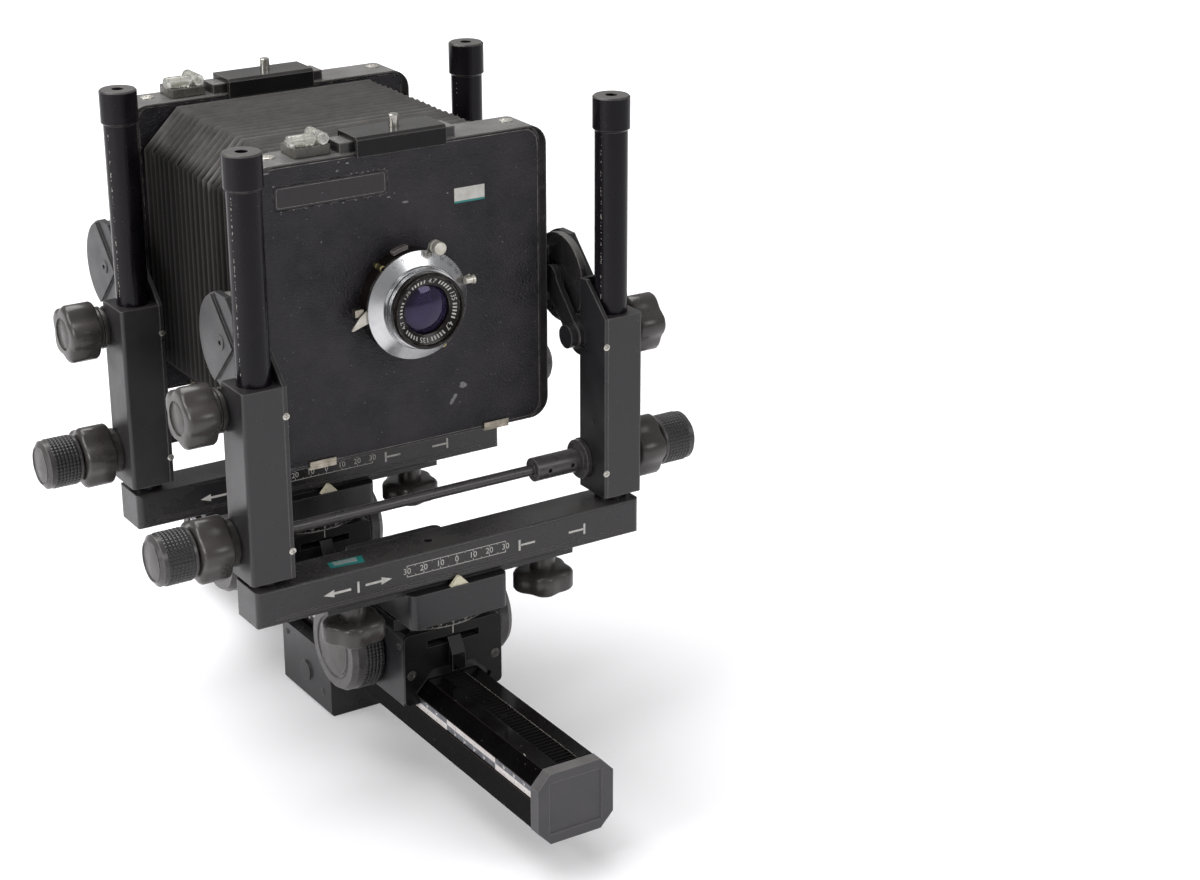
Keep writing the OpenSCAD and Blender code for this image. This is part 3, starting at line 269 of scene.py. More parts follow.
def finish(name, look):
    # cloudy base colour, grain in the bump, dust, bare edges, and painted light: highlights along edges,
    # shade and highlight on cloth folds, light on tops
    look = {**common, **look}
    material, tree = newMaterial(name)
    coords = addNode(tree, "TexCoord").outputs["Object"]

    def layer(colour, share, strength, over):
        # the second colour laid over the first where share is high
        return mixed(tree, combined(tree, "MULTIPLY", share, strength), colour, over)

    tone = ranged(tree, noise(tree, coords, look["cloud"], 5.0, 0.6), 0.32, 0.7)
    colour = mixed(tree, tone, look["colour"], look["second"])
    rough = ranged(tree, tone, 0.0, 1.0, look["rough"] - look["spread"], look["rough"] + look["spread"])
    if "dust" in look:
        dusty = ranged(tree, noise(tree, coords, look["speck"], 2.0), 0.78 - look["dust"] * 0.1, 0.8)
        colour = mixed(tree, dusty, colour, look["dustColour"])
    if "rub" in look:
        # painted highlight: edges paler all along
        edge = edgeShare(tree, look["rubWidth"], 0.995, 0.8)
        colour = layer(colour, edge, look["rub"], look["rubColour"])
    if "wear" in look:
        # bare metal along the edges, broken up by noise
        edge = edgeShare(tree, look["edgeWidth"], 0.985, 0.86)
        patches = ranged(tree, noise(tree, coords, 5, 4.0), 0.62 - look["wear"] * 0.35,
                         0.72 - look["wear"] * 0.3)
        colour = layer(colour, edge, patches, look["bare"])
    if "fold" in look:
        # cloth: painted shade down in the valleys and a painted highlight along the ridges
        place = addNode(tree, "Attribute", attribute_name="fold").outputs["Fac"]
        colour = mixed(tree, ranged(tree, place, 0.0, 0.7, 1.0, 0.0), colour, "#050505")
        colour = mixed(tree, ranged(tree, place, 0.86, 1.0, 0.0, look["fold"]), colour, "#77726d")
    if "dustTop" in look:
        # painted light with fine dust on faces that look up, thinner where the cloud is dark
        normal = addNode(tree, "NewGeometry").outputs["Normal"]
        upward = addNode(tree, "SeparateXYZ", {0: normal}).outputs["Z"]
        lying = ranged(tree, upward, look["topFrom"], look["topTo"], 0.0, look["dustTop"])
        colour = layer(colour, lying, ranged(tree, tone, 0.0, 1.0, 0.7, 1.15), look["topColour"])
    height = noise(tree, coords, look["grain"], 3.0)
    if "pebble" in look:
        # a wrinkle or leather grain: cells of the real size, rounded off
        cells = addNode(tree, "TexVoronoi", {"Vector": coords, "Scale": 1 / (look["pebble"] * mm)},
                        feature="SMOOTH_F1")
        height = combined(tree, "ADD", cells.outputs["Distance"], height)
    bump = addNode(tree, "Bump", {"Height": height, "Strength": look["bump"],
                                  "Distance": look["depth"] * mm})
    if "edgeRound" in look:
        rounded = addNode(tree, "Bevel", {"Radius": look["edgeRound"] * mm}, samples=4)
        tree.links.new(rounded.outputs[0], bump.inputs["Normal"])
    shaded(tree, colour, rough, bump, {"Metallic": look["metal"], "IOR": look["ior"],
                                       "Specular IOR Level": look["specular"]})
    return material


def shaded(tree, colour, rough, bump, sockets):
    # sockets hold single values and are set on the shader itself
    shader = addNode(tree, "BsdfPrincipled", {"Base Color": colour, "Roughness": rough,
                                              "Normal": bump.outputs[0], **sockets})
    addNode(tree, "OutputMaterial", {"Surface": shader.outputs[0]})


# in these looks the edge sheen is a painted highlight along the edges, and the light on tops is painted
# light with some dust
looks = {
    "blackAnodised": dict(colour="#262527", second="#2f2d2d", rough=0.36, wear=0.3, dust=0.4, grain=0.35,
        bump=0.12, edgeRound=0.9, rub=0.45, bare="#8b8680"),
    "barAnodised": dict(colour="#242325", second="#2c2a2a", rough=0.3, dust=0.12, grain=0.35, bump=0.06,
        edgeRound=0.9, rub=0.4, dustTop=0.14),
    "glossBlack": dict(colour="#121214", second="#19181a", rough=0.14, spread=0.05, dust=0.3, grain=0.6,
        bump=0.03, edgeRound=0.6, rub=0.6, dustTop=0.16, ior=1.28),
    "latchBlack": dict(colour="#070708", second="#0d0c0e", rough=0.14, spread=0.05, dust=0.3, grain=0.6,
        bump=0.03, edgeRound=0.6, rub=0.7, rubWidth=0.3, rubColour="#a7a19c", ior=1.2),
    # frame enamel: black, glossy, with painted highlights along its edges and painted light with some
    # dust on its top
    "frameEnamel": dict(colour="#242324", second="#302e2e", rough=0.24, wear=0.35, dust=0.4, grain=0.6,
        bump=0.1, edgeRound=1.1, rub=0.55, rubWidth=1.6, bare="#a09b94", dustTop=0.5,
        topColour="#8d8b89"),
    # rail flanks and rack: finishes that throw back little light; the flanks are a darker copy of the
    # rail's own finish, painted shade, with a painted highlight along their edges
    "railShade": dict(colour="#060506", second="#0a090a", rough=0.28, dust=0.35, speck=1.4, grain=0.8,
        bump=0.03, edgeRound=0.3, rub=0.4, rubWidth=0.7, rubColour="#7d6d67", ior=1.1),
    "rackBlack": dict(colour="#100f10", second="#171516", rough=0.4, dust=0.5, speck=0.9, grain=0.5,
        ior=1.14),
    # die-cast parts in stoved enamel: finer, darker, more even
    "coverEnamel": dict(colour="#0b0b0c", second="#111112", rough=0.36, dust=0.3, grain=0.6, bump=0.12,
        edgeRound=0.4, rub=0.4, rubWidth=0.6, ior=1.3),
    "capPlastic": dict(colour="#39383a", second="#434144", rough=0.36, dust=0.3, grain=0.5, bump=0.1,
        edgeRound=0.8, rub=0.65, rubColour="#949091", dustTop=0.4),
    "castEnamel": dict(colour="#1f1e20", second="#282729", rough=0.34, wear=0.2, dust=0.4, grain=0.6,
        bump=0.2, edgeRound=0.8, rub=0.4, bare="#77736e"),
    # drawn tube, anodised black that has faded towards violet
    "fadedTube": dict(colour="#0f0c10", second="#18141a", rough=0.22, wear=0.4, dust=0.3, speck=1.3,
        bump=0.04, edgeRound=0.6, rub=0.4, bare="#7d7870", dustColour="#77706a", cloud=30, dustTop=0.35,
        ior=1.29),
    "mouldedKnob": dict(colour="#3a3735", second="#403c3a", rough=0.28, spread=0.03, dust=0.2, grain=0.5,
        cloud=30, edgeRound=0.25, rub=0.3, rubWidth=0.4, rubColour="#8a847f"),
    # turned knob face, lighter grey with lathe marks too fine to see
    "turnedKnob": dict(colour="#3d3b3b", second="#484545", rough=0.3, wear=0.5, dust=0.3, grain=0.4,
        bump=0.08, edgeRound=0.6, rub=0.5, bare="#8b8884"),
    # glossy hard anodised rail, scratched by the carriages
    "railGloss": dict(colour="#0b0a0b", second="#110f10", rough=0.12, spread=0.05, dust=0.4, speck=1.4,
        grain=0.8, bump=0.03, edgeRound=0.35, specular=0.35),
    # wrinkle enamel on the lens board: grain of about 0.7 mm, drawn at its size
    "wrinkleEnamel": dict(colour="#151317", second="#302d32", rough=0.36, wear=0.5, dust=0.5, speck=1.2,
        grain=0.9, pebble=1.1, bump=1.0, depth=0.35, edgeRound=0.3, bare="#8f8c88", cloud=22, ior=1.4),
    # leathercloth: rubberised cotton, dull and dusty, with painted shade in its valleys, a painted
    # highlight on its ridges and painted light on its tops
    "leathercloth": dict(colour="#131212", second="#1c1a19", rough=0.5, dust=0.4, speck=0.6, grain=0.35,
        pebble=0.5, bump=0.35, cloud=9, fold=0.24, dustTop=0.54, topFrom=0.15, topTo=0.32,
        topColour="#827f7c", ior=1.35),
    "satinAluminium": dict(colour="#cccccd", second="#b9babd", rough=0.22, metal=1.0, spread=0.06,
        cloud=9),
    "nickelPlate": dict(colour="#c8c4ba", second="#aaa496", rough=0.24, metal=1.0, cloud=3),
    "paleNickel": dict(colour="#d6d3ca", second="#b5b0a3", rough=0.34, metal=0.75, cloud=4),
    # spring steel, brushed and a little stained
    "springSteel": dict(colour="#b3aca0", second="#8f887b", rough=0.33, metal=1.0, grain=0.25, bump=0.12,
        cloud=4),
    "blackLacquer": dict(colour="#130e0e", second="#1d1615", rough=0.2, wear=0.4, dust=0.2, grain=0.4,
        edgeRound=0.25, bare="#8a8579", ior=1.36),
    # baked white and silver ink of the tape
    "silverTape": dict(colour="#b9b7b4", second="#9c9a98", rough=0.4, metal=0.5, grain=0.4, dust=0.6,
        dustColour="#3a3838", cloud=6),
    "whiteInk": dict(colour="#cfcdc8", second="#b4b1ab", rough=0.5, cloud=4),
    # tape: white and dark silver printing
    "tapeWhite": dict(colour="#d2cdcb", second="#c2bbb8", rough=0.42, grain=0.4, dust=0.4, speck=0.6,
        dustColour="#8e7a68", cloud=5),
    "tapeDark": dict(colour="#7d7f84", second="#64666b", rough=0.28, metal=0.8, grain=0.4, cloud=5),
    # cut grips: moulded black, a little polished on the studs
    "gripBlack": dict(colour="#232223", second="#2d2b2b", rough=0.32, grain=0.4, bump=0.06, cloud=6),
    # let-in faces of the knobs: brown-grey lacquer
    "knobFace": dict(colour="#403b3a", second="#393534", rough=0.35, grain=0.4, bump=0.08, cloud=7,
        dust=0.3),
    "paleSteel": dict(colour="#cfccc6", second="#b3afa7", rough=0.28, metal=1.0, bump=0.06, cloud=2),
    "greyPanel": dict(colour="#7f9492", second="#a9b3b0", rough=0.5, cloud=2),
    # the pale line round the lens board: a painted highlight
    "edgeWorn": dict(colour="#3d3b3b", second="#9b9792", rough=0.4, cloud=7),
    "lineSilver": dict(colour="#8b8885", second="#4f4c4b", rough=0.45, cloud=4),
    "creamSteel": dict(colour="#e4e1da", second="#a8a49b", rough=0.3, metal=0.8, bump=0.08, cloud=2.5),
    "boltBlack": dict(colour="#2c2b2b", second="#55524e", rough=0.33, metal=0.5, bump=0.06, wear=0.8,
        edgeWidth=0.2, cloud=2),
    "plateBlack": dict(colour="#1c191b", second="#262123", rough=0.3, grain=0.5, cloud=8),
    # paint knocked off down to grey primer
    "chippedPaint": dict(colour="#8a8a8c", second="#5f5f61", rough=0.55, grain=0.25, bump=0.2,
        cloud=1.5),
    "bareMetal": dict(colour="#cfcac0", second="#8f8a80", rough=0.4, metal=0.3, grain=0.25, bump=0.15,
        cloud=3),
    "paperLabel": dict(colour="#d6d4cf", second="#c2bfb8", rough=0.6, cloud=4),
    "greenEdge": dict(colour="#1f8a83", second="#277a78", rough=0.4, bump=0.04, cloud=5),
    "darkInk": dict(colour="#34383c", second="#454a50", rough=0.5, bump=0.04, cloud=3),
    "brassPost": dict(colour="#b9ad7c", second="#8f8560", rough=0.32, metal=1.0, bump=0.08, cloud=2),
    "wornGrey": dict(colour="#59524f", second="#3a3534", rough=0.38, bump=0.2, wear=0.9, edgeWidth=0.4,
        bare="#b5b0a8", cloud=2),
    "seatPlastic": dict(colour="#4b4844", second="#5a5751", rough=0.3, grain=0.5, edgeRound=0.3,
        cloud=5),
    "creamPlastic": dict(colour="#e2dcc3", second="#d2cab0", rough=0.4, grain=0.5),
}
finishes = {name: finish(name, look) for name, look in looks.items()}


def glassFinish(name, look):
    # glass: smears in the gloss and a faint unevenness; the tint darkens towards the rim as seen, a
    # painted shade
    material, tree = newMaterial(name)
    coords = addNode(tree, "TexCoord").outputs["Object"]
    smear = noise(tree, coords, look["smear"], 4.0)
    rough = ranged(tree, smear, 0.35, 0.7, look["rough"], look["rough"] + look["spread"])
    slant = addNode(tree, "LayerWeight", {"Blend": 0.35}).outputs["Facing"]
    bump = addNode(tree, "Bump", {"Height": smear, "Strength": look["bump"], "Distance": 0.1 * mm})
    shaded(tree, mixed(tree, slant, look["colour"], look["edge"]), rough, bump, look["sockets"])
    return material


# each look's edge colour is painted shade towards the rim as seen
glassLooks = {
    # the front element: violet anti-reflection coating over dark glass
    "coatedGlass": dict(colour="#82789f", edge="#3b3350", rough=0.01, spread=0.03, smear=3.0, bump=0.03,
        sockets={"Transmission Weight": 0.96, "IOR": 1.5, "Specular Tint": linear("#c3b4f0"),
                 "Coat Weight": 0.25, "Coat Roughness": 0.02}),
    "innerGlass": dict(colour="#0c0a1c", edge="#06050c", rough=0.02, spread=0.03, smear=4.0, bump=0.03,
        sockets={"IOR": 1.3, "Specular Tint": linear("#b7adf4")}),
    "clearAcrylic": dict(colour="#ecebe6", edge="#8b8982", rough=0.03, spread=0.02, smear=9.0,
        bump=0.002, sockets={"Transmission Weight": 0.7, "IOR": 1.5}),
    "levelLiquid": dict(colour="#e4e5da", edge="#c9ccb8", rough=0.05, spread=0.04, smear=5.0,
        bump=0.004, sockets={"Transmission Weight": 0.5, "IOR": 1.36}),
    "groundGlass": dict(colour="#c3cbc8", edge="#b4bdba", rough=0.5, spread=0.1, smear=0.4, bump=0.5,
        sockets={"Transmission Weight": 0.4, "IOR": 1.5}),
}
finishes.update({name: glassFinish(name, look) for name, look in glassLooks.items()})
print("finishes made:", len(finishes))

nodeFinishes = {
    "railGloss": "rail", "capPlastic": "rail_end_caps", "silverTape": "rail_scales",
    "castEnamel": "tripod_block carriage swing_table carrier riser_plates level spring_back",
    "mouldedKnob": "tripod_clamp_knob swing_lock_knob shift_lock_knob rise_lock_left rise_lock_right "
                   "tilt_knob_left tilt_knob_right",
    "coverEnamel": "carriage_plates", "turnedKnob": "focus_drive rise_drive", "latchBlack": "latch",
    "barAnodised": "base_bar", "fadedTube": "columns", "blackAnodised": "risers reversing_back",
    "frameEnamel": "frame", "glossBlack": "board_lock", "wrinkleEnamel": "bellows_panel lens_board",
    "blackLacquer": "shutter lens_cells lens_glass", "satinAluminium": "speed_ring",
    "nickelPlate": "cocking_lever release_lever aperture_lever", "leathercloth": "bellows",
    "groundGlass": "ground_glass", "springSteel": "back_springs",
}
finishOf = {node: name for name, nodes in nodeFinishes.items() for node in nodes.split()}
for nodeName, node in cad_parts.items():
    plain = nodeName.replace("front_", "").replace("rear_", "")
    node.data.materials.clear()
    node.data.materials.append(finishes[finishOf[plain]])


def partFinish(nodeName, finishName, low, high):
    # gives another finish to the faces of a node whose centres lie in a box, in mm
    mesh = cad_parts[nodeName].data
    mesh.materials.append(finishes[finishName])
    number = len(mesh.materials) - 1
    centres = np.zeros(len(mesh.polygons) * 3)
    mesh.polygons.foreach_get("center", centres)
    centres = centres.reshape(-1, 3) / mm - columnAxis
    inside = np.all((centres > low) & (centres < high), axis=1)
    numbers = np.zeros(len(mesh.polygons), np.int32)
    mesh.polygons.foreach_get("material_index", numbers)
    numbers[inside] = number
    mesh.polygons.foreach_set("material_index", numbers)


partFinish("rail", "rackBlack", (-6.2, -124, 50), (6.2, 294, 58.1))
# the rail's flanks and chamfers get the shaded copy of its finish: painted shade
for x in (-23, 17):
    partFinish("rail", "railShade", (x, -124, 18), (x + 6, 294, 57.9))


# Bellows: pleats with mitred corners, in ten lengths

bellows = {"start": 59.0, "end": 185.0, "folds": 20, "outer": 80.5, "depth": 9.5, "ridgeMitre": 21.0,
           "valleyMitre": 11.0, "steps": 4, "cloth": 0.9}


def bellowsRing(half, mitre, y, perSide=10, perCorner=3):
    # square of half width half with its corners cut by mitre, as points in order round the axis
    cut = half - mitre
    corners = [(half, -cut), (half, cut), (cut, half), (-cut, half), (-half, cut), (-half, -cut),
               (-cut, -half), (cut, -half)]
    points = []
    for number, (start, end) in enumerate(zip(corners, corners[1:] + corners[:1])):
        count = perSide if number % 2 == 0 else perCorner
        share = np.arange(count)[:, None] / count
        points.append(np.array(start) * (1 - share) + np.array(end) * share)
    flat = np.concatenate(points)
    return np.column_stack([flat[:, 0], np.full(len(flat), y), flat[:, 1] + lensHeight])


def bellowsSurface(y0, y1):
    # the half width swings between ridge and valley as a rounded triangle wave along the axis
    pitch = (bellows["end"] - bellows["start"]) / bellows["folds"]
    count = max(2, int(round((y1 - y0) / pitch * 2 * bellows["steps"])) + 1)
    rings, swells = [], []
    for y in np.linspace(y0, y1, count):
        phase = (y - bellows["start"]) / pitch
        wave = abs(2 * (phase - math.floor(phase + 0.5)))
        swell = 1 - (1 - wave) ** 1.25
        swells.append(swell)
        half = bellows["outer"] - bellows["depth"] * (1 - swell)
        mitre = bellows["valleyMitre"] + (bellows["ridgeMitre"] - bellows["valleyMitre"]) * swell
        rings.append(bellowsRing(half, mitre, y))
    rings = np.array(rings)
    shape = rings.reshape(-1, 3), gridFaces(len(rings), rings.shape[1], wrap=True)
    return shape, np.repeat(swells, rings.shape[1])


# the two bodies listed for each length, and its share of the cloth
lengths = [("front_frame", "front_risers", 1.5), ("front_risers", "front_bar", 3),
           ("front_bar", "front_carrier", 1.5), ("front_carrier", "front_carriage", 1),
           ("front_carriage", "base", 2), ("base", "rear_carriage", 2),
           ("rear_carriage", "rear_carrier", 1), ("rear_carrier", "rear_bar", 1.5),
           ("rear_bar", "rear_risers", 3), ("rear_risers", "rear_frame", 1.5)]
total = sum(share for _, _, share in lengths)
y = bellows["start"]
for bodyA, bodyB, share in lengths:
    after = y + share / total * (bellows["end"] - bellows["start"])
    shape, swells = bellowsSurface(y, after)
    piece = addPiece(f"bellows{bodyA.title().replace('_', '')}", shape, "leathercloth", None,
                     solid=False, angle=80)
    # the fold attribute places painted shade in the valleys and a painted highlight on the ridges
    piece.data.attributes.new("fold", "FLOAT", "POINT").data.foreach_set("value", swells)
    cloth = piece.modifiers.new("cloth thickness", "SOLIDIFY")
    cloth.thickness, cloth.offset, cloth.use_rim = bellows["cloth"] * mm, -1, False
    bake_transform(piece)
    if bodyA == "front_frame":
        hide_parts("bellows")
    y = after
print("bellows made")


# Printed and engraved markings

markings = {"line": 0.32, "tick": 0.34, "digit": 3.3, "half": 30, "low": 125.3, "high": 131.9,
            "arrows": [(-63, -78.9, 126.9), (-54.5, -39, 127.1)],
            "bars": [(-59.3, 123.8, -58.1, 130.1), (38.2, 124, 39.4, 130.2), (79.5, 124, 80.7, 130.2),
                     (39, 126.5, 48.5, 127.6), (70, 126.5, 80, 127.6)]}


def upright(u, v0, v1):
    return bar(u - markings["line"] / 2, v0, u + markings["line"] / 2, v1)


def arrow(tail, tip, level, shaft=0.65, head=2.1, length=6.2):
    # a thin shaft with a three-sided head, as one outline
    way = 1 if tip > tail else -1
    neck = tip - way * length
    return np.array([[tail, level - shaft], [neck, level - shaft], [neck, level - head], [tip, level],
                     [neck, level + head], [neck, level + shaft], [tail, level + shaft]])[::way]


def barMarkings(dy):
    # shift scale in millimetres, the two arrows of the swing lock and the bracket of the shift lock
    place = facing("front", (0, dy - 13, 0))
    half, low, high, tick = (markings[key] for key in ("half", "low", "high", "tick"))
    lines = [bar(-half, low, half, low + tick), bar(-half, high - tick, half, high)]
    for x in range(-half, half + 1, 5):
        deep = 1.5 if x % 10 == 0 else 1.0
        lines += [upright(x, low, low + deep), upright(x, high - deep, high)]
    lines += [arrow(*ends) for ends in markings["arrows"]]
    lines += [bar(*corners) for corners in markings["bars"]]
    numbers = [digits(str(abs(x)), markings["digit"], x, (low + high) / 2, place)
               for x in range(-half, half + 1, 10)]
    return joined(inked(lines, place) + numbers)


table = {"radius": 45.6, "half": 30.0, "low": 87.5, "high": 94.0, "back": 38, "digit": 1.8}


def tableShape(dy):
    # a disc cut off flat at both sides, and the post it turns on
    edge = math.asin(table["half"] / table["radius"])
    front = np.linspace(-edge, edge, 25)
    arc = np.column_stack([table["radius"] * np.sin(front), -table["radius"] * np.cos(front)])
    centre = (0, table["back"] + dy, 0)
    disc = prism(np.concatenate([arc, -arc]), table["low"], table["high"], facing("top", centre))
    post = turned([(93.9, 0.01), (93.9, 12), (104.6, 12), (105, 11.6), (105, 0.01)], "z", centre, 48)
    return joined([disc, post])


def tableMarkings(dy):
    # degrees round the table's front edge: a tick each 1, a long one each 5 and a number each 10
    radius, low = table["radius"], table["low"]
    place = wrapped((0, table["back"] + dy, 0), radius)
    shapes = []
    for degree in range(-30, 31):
        u = math.radians(degree) * radius
        deep = 1.2 if degree % 5 == 0 else 0.7
        shapes += inked([upright(u, low + 0.05, low + 0.05 + deep)], place)
        if degree % 10 == 0:
            shapes.append(digits(str(abs(degree)), table["digit"], u, low + 2.4, place))
    return joined(shapes)


tape = {"face": 21.2, "low": 42.9, "middle": 46.4, "high": 49.9, "front": -122.5, "back": 292.5,
        "first": -136.0, "step": 50.0, "count": 9}


def tapeMarkings(side):
    # two rows that change places each 50 mm: one white, one dark silver with a dot at each centimetre
    way = -1 if side == "left" else 1
    place = facing(side, (way * tape["face"], 0, 0))
    white, silver, dots = [], [], []
    rows = [(tape["low"], tape["middle"]), (tape["middle"], tape["high"])]
    for number in range(tape["count"]):
        start = tape["first"] + number * tape["step"]
        end = start + tape["step"]
        y0, y1 = max(start, tape["front"]), min(end, tape["back"])
        u0, u1 = sorted((way * y0, way * y1))
        bright, dull = rows if number % 2 == 0 else rows[::-1]
        white.append(bar(u0, bright[0], u1, bright[1]))
        silver.append(bar(u0, dull[0], u1, dull[1]))
        for y in np.arange(start, end, 10):
            if y0 < y < y1 - 2:
                u, v = way * (y + 1), (dull[0] + dull[1]) / 2 - 0.4
                dots += [bar(u - 0.5, v - 0.6, u + 0.5, v + 0.6),
                         bar(u - 1.1, dull[0], u - 0.9, dull[1])]
                silver.append(upright(u, bright[0] + 0.5, bright[0] + 1.7))
    strips = [prism(outline, -2.1, 0.04, place) for outline in white]
    return joined(strips), joined(inked(silver, place)), joined(inked(dots, place, 0.07))


for side, dy in standards.items():
    addPiece(f"{side}BarMarkings", barMarkings(dy), "whiteInk", f"{side}_bar")
    addPiece(f"{side}TableMarkings", tableMarkings(dy), "whiteInk", f"{side}_carriage")
    addInk(f"{side}TableIndex", [bar(-0.24, 82.8, 0.24, 87.3)], facing("front", (0, dy - 7, 0)),
           "whiteInk", f"{side}_carriage")
    disc = addPiece(f"{side}SwingTable", tableShape(dy), "coverEnamel", f"{side}_carriage")
    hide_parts(f"{side}_swing_table")
    # painted shade: thin dark strips across the bar's front where its grooves fall into shade
    grooveShade = [bar(-106, z, 106, z + high) for z, high in ((120.0, 0.5), (121.4, 0.5), (118.2, 0.3))]
    addInk(f"{side}BarGrooveShade", grooveShade, facing("front", (0, dy - 13, 0)), "plateBlack", f"{side}_bar",
           0.02)
for side in ("left", "right"):
    for name, shape, look in zip(("White", "Silver", "Dots"), tapeMarkings(side),
                                 ("tapeWhite", "tapeDark", "tapeWhite")):
        addPiece(f"{side}Tape{name}", shape, look, "base")
print("markings made")


# Knobs: cut grips and let-in faces

grips = {"pitch": 2.0, "height": 0.42, "samples": 6}


def grip(x0, x1, radius, y, z):
    # a sleeve of square studs: the product of two rectified sines, along the axis and round it
    count = int(round(2 * math.pi * radius / grips["pitch"]))
    rows = int(round((x1 - x0) / grips["pitch"]))
    samples = grips["samples"]
    along = np.linspace(x0, x1, rows * samples + 1)
    profile = [(x0, radius - 0.4)] + [(x, radius + 0.02) for x in along] + [(x1, radius - 0.4)]

    def studs(x, angle, base):
        wave = abs(np.sin((x - x0) / (x1 - x0) * rows * np.pi)) * abs(np.sin(angle * count / 2))
        return (base > radius) * grips["height"] * np.minimum(1, 1.5 * wave)

    return turned(profile, "x", (0, y, z), steps=count * samples, ripple=studs, loop=True)


def mirrored(shape, way):
    # the same shape on the left; the faces are turned round with it
    points, faces = shape
    if way > 0:
        return points, faces
    return points * [-1, 1, 1], [face[::-1] for face in faces]


# where each knob's shaft runs: behind its column axis and above the floor
shafts = {"rise": (10.5, 157.8), "focus": (38, 69.0), "tilt": (14, 229.0)}
# each shaft's cut sleeve (start, end, radius) and the low rings and discs let into the knobs' ends
knobEnds = [
    ("rise", (143.2, 157.4, 13.5), [
        ("RiseRim", [(161.4, 11.0), (161.9, 10.9), (161.9, 10.1), (161.4, 9.7)], "gripBlack"),
        ("RiseFace", [(161.45, 0.01), (161.62, 0.01), (161.62, 9.3), (161.45, 9.75)], "knobFace")]),
    ("focus", (31.9, 42.6, 25.0), [
        ("FocusFace", [(49.9, 0.01), (50.12, 0.01), (50.12, 14.8), (49.9, 15.6)], "knobFace"),
        ("FocusEdge", [(49.9, 17.1), (50.3, 17.4), (50.3, 17.9), (49.9, 18.3)], "gripBlack")]),
    ("tilt", None, [
        ("TiltFace", [(140.6, 0.01), (140.95, 0.01), (140.95, 7.6), (140.6, 8.2)], "knobFace")])]
for side, dy in standards.items():
    for way, hand in ((-1, "Left"), (1, "Right")):
        for shaft, sleeve, faces in knobEnds:
            y, z = shafts[shaft][0] + dy, shafts[shaft][1]
            body = f"{side}_tilt_knob_{hand.lower()}" if shaft == "tilt" else f"{side}_{shaft}_drive"
            if sleeve:
                addPiece(f"{side}{hand}{shaft.title()}Grip", mirrored(grip(*sleeve, y, z), way),
                         "gripBlack", body)
            for name, profile, look in faces:
                addPiece(side + hand + name, mirrored(turned(profile, "x", (0, y, z), loop=True), way),
                         look, body)


# Lobed knobs: five broad lobes with shallow hollows between them, every edge rounded

lobes = {"count": 5, "hollow": 2.3, "from": 12.6,
         "edge": [(0.0, 3.4), (0.35, 1.9), (1.1, 0.75), (2.3, 0.0)]}


def lobedProfile(low, high, radius):
    # (along, radius) over the grip, its ends drawn in along a quarter round
    rising = [(low + rise, radius - inset) for rise, inset in lobes["edge"]]
    return rising + [(high - rise, radius - inset) for rise, inset in lobes["edge"][::-1]]


def hollows(along, angle, base):
    # each hollow is a raised cosine taken to the power 1.2, at the outermost rings only
    dip = (0.5 + 0.5 * np.cos(lobes["count"] * angle + 0.6)) ** 1.2
    return -lobes["hollow"] * dip * (base > lobes["from"])


tilt = [(88.4, 0.01), (88.4, 3), (118.1, 3), (118.1, 10), (119.3, 10), (119.7, 11.7), (121.1, 11.7),
        (121.5, 10.6), (121.9, 11.7), (123.5, 11.7), *lobedProfile(123.5, 141.5, 16.5), (141.5, 9.0),
        (140.7, 9.0), (140.7, 0.01)]
ring = [(118.1, 3.3), (118.1, 12.5), (122.0, 12.5), *lobedProfile(122.0, 140.0, 17.5), (140.0, 3.3)]
under = [(92.0, 0.01), *lobedProfile(92.0, 104.5, 17.0), (104.5, 7), (112.3, 7), (112.3, 3), (119, 3),
         (119, 0.01)]
for side, dy in standards.items():
    (tiltY, tiltZ), (riseY, riseZ) = shafts["tilt"], shafts["rise"]
    knobs = []
    for way, hand in ((-1, "left"), (1, "right")):
        tiltKnob = turned(tilt, "x", (0, tiltY + dy, tiltZ), 120, hollows)
        riseLock = turned(ring, "x", (0, riseY + dy, riseZ), 120, hollows, loop=True)
        knobs += [(f"{side}_tilt_knob_{hand}", mirrored(tiltKnob, way)),
                  (f"{side}_rise_lock_{hand}", mirrored(riseLock, way))]
    knobs += [(f"{side}_{name}_lock_knob", turned(under, "z", (x, dy, 0), 120, hollows))
              for name, x in (("swing", -56), ("shift", 61))]
    for node, shape in knobs:
        piece = addPiece(node.title().replace("_", ""), shape, "mouldedKnob", node)
        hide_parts(node)
print("knobs dressed")


# Screws

def screwSet(name, body, look, places, radius, tall, cross=False):
    # places: the side each screw faces and the (x, y, z) of its seat
    shapes = [screwShape(facing(side, spot), radius, tall, cross) for side, spot in places]
    addPiece(name, joined(shapes), look, body, angle=50)


for side, dy in standards.items():
    screwSet(f"{side}SeamScrews", f"{side}_risers", "paleSteel",
             [("front", (x, dy - 12.5, z)) for x in (-94.8, 94.8) for z in (156, 229)]
             + [("back", (x, dy + 12.5, 185)) for x in (-98, 98)], 1.9, 0.5, True)
    screwSet(f"{side}CoverScrews", f"{side}_carriage", "boltBlack",
             [(end, (x, dy + y, 64)) for end, y in (("front", -7), ("back", 83))
              for x in (-25.8, 25.8)], 2.7, 0.5)
    screwSet(f"{side}FrameScrews", f"{side}_frame", "creamSteel",
             [("top", (x, dy + 50.5, 342.8)) for x in (-68.5, 71.5)], 3.9, 0.9, True)
    screwSet(f"{side}TableScrews", f"{side}_carriage", "boltBlack",
             [(hand, (x, dy + y, 80.5)) for hand, x in (("left", -30), ("right", 30)) for y in (-1, 77)],
             2.4, 0.4)
screwSet("blockScrews", "base", "boltBlack", [("left", (-30, 93.5, 12))], 2.4, 0.4)
print("screws set")


# Lens board: chips, let-in plate with its line, and a label

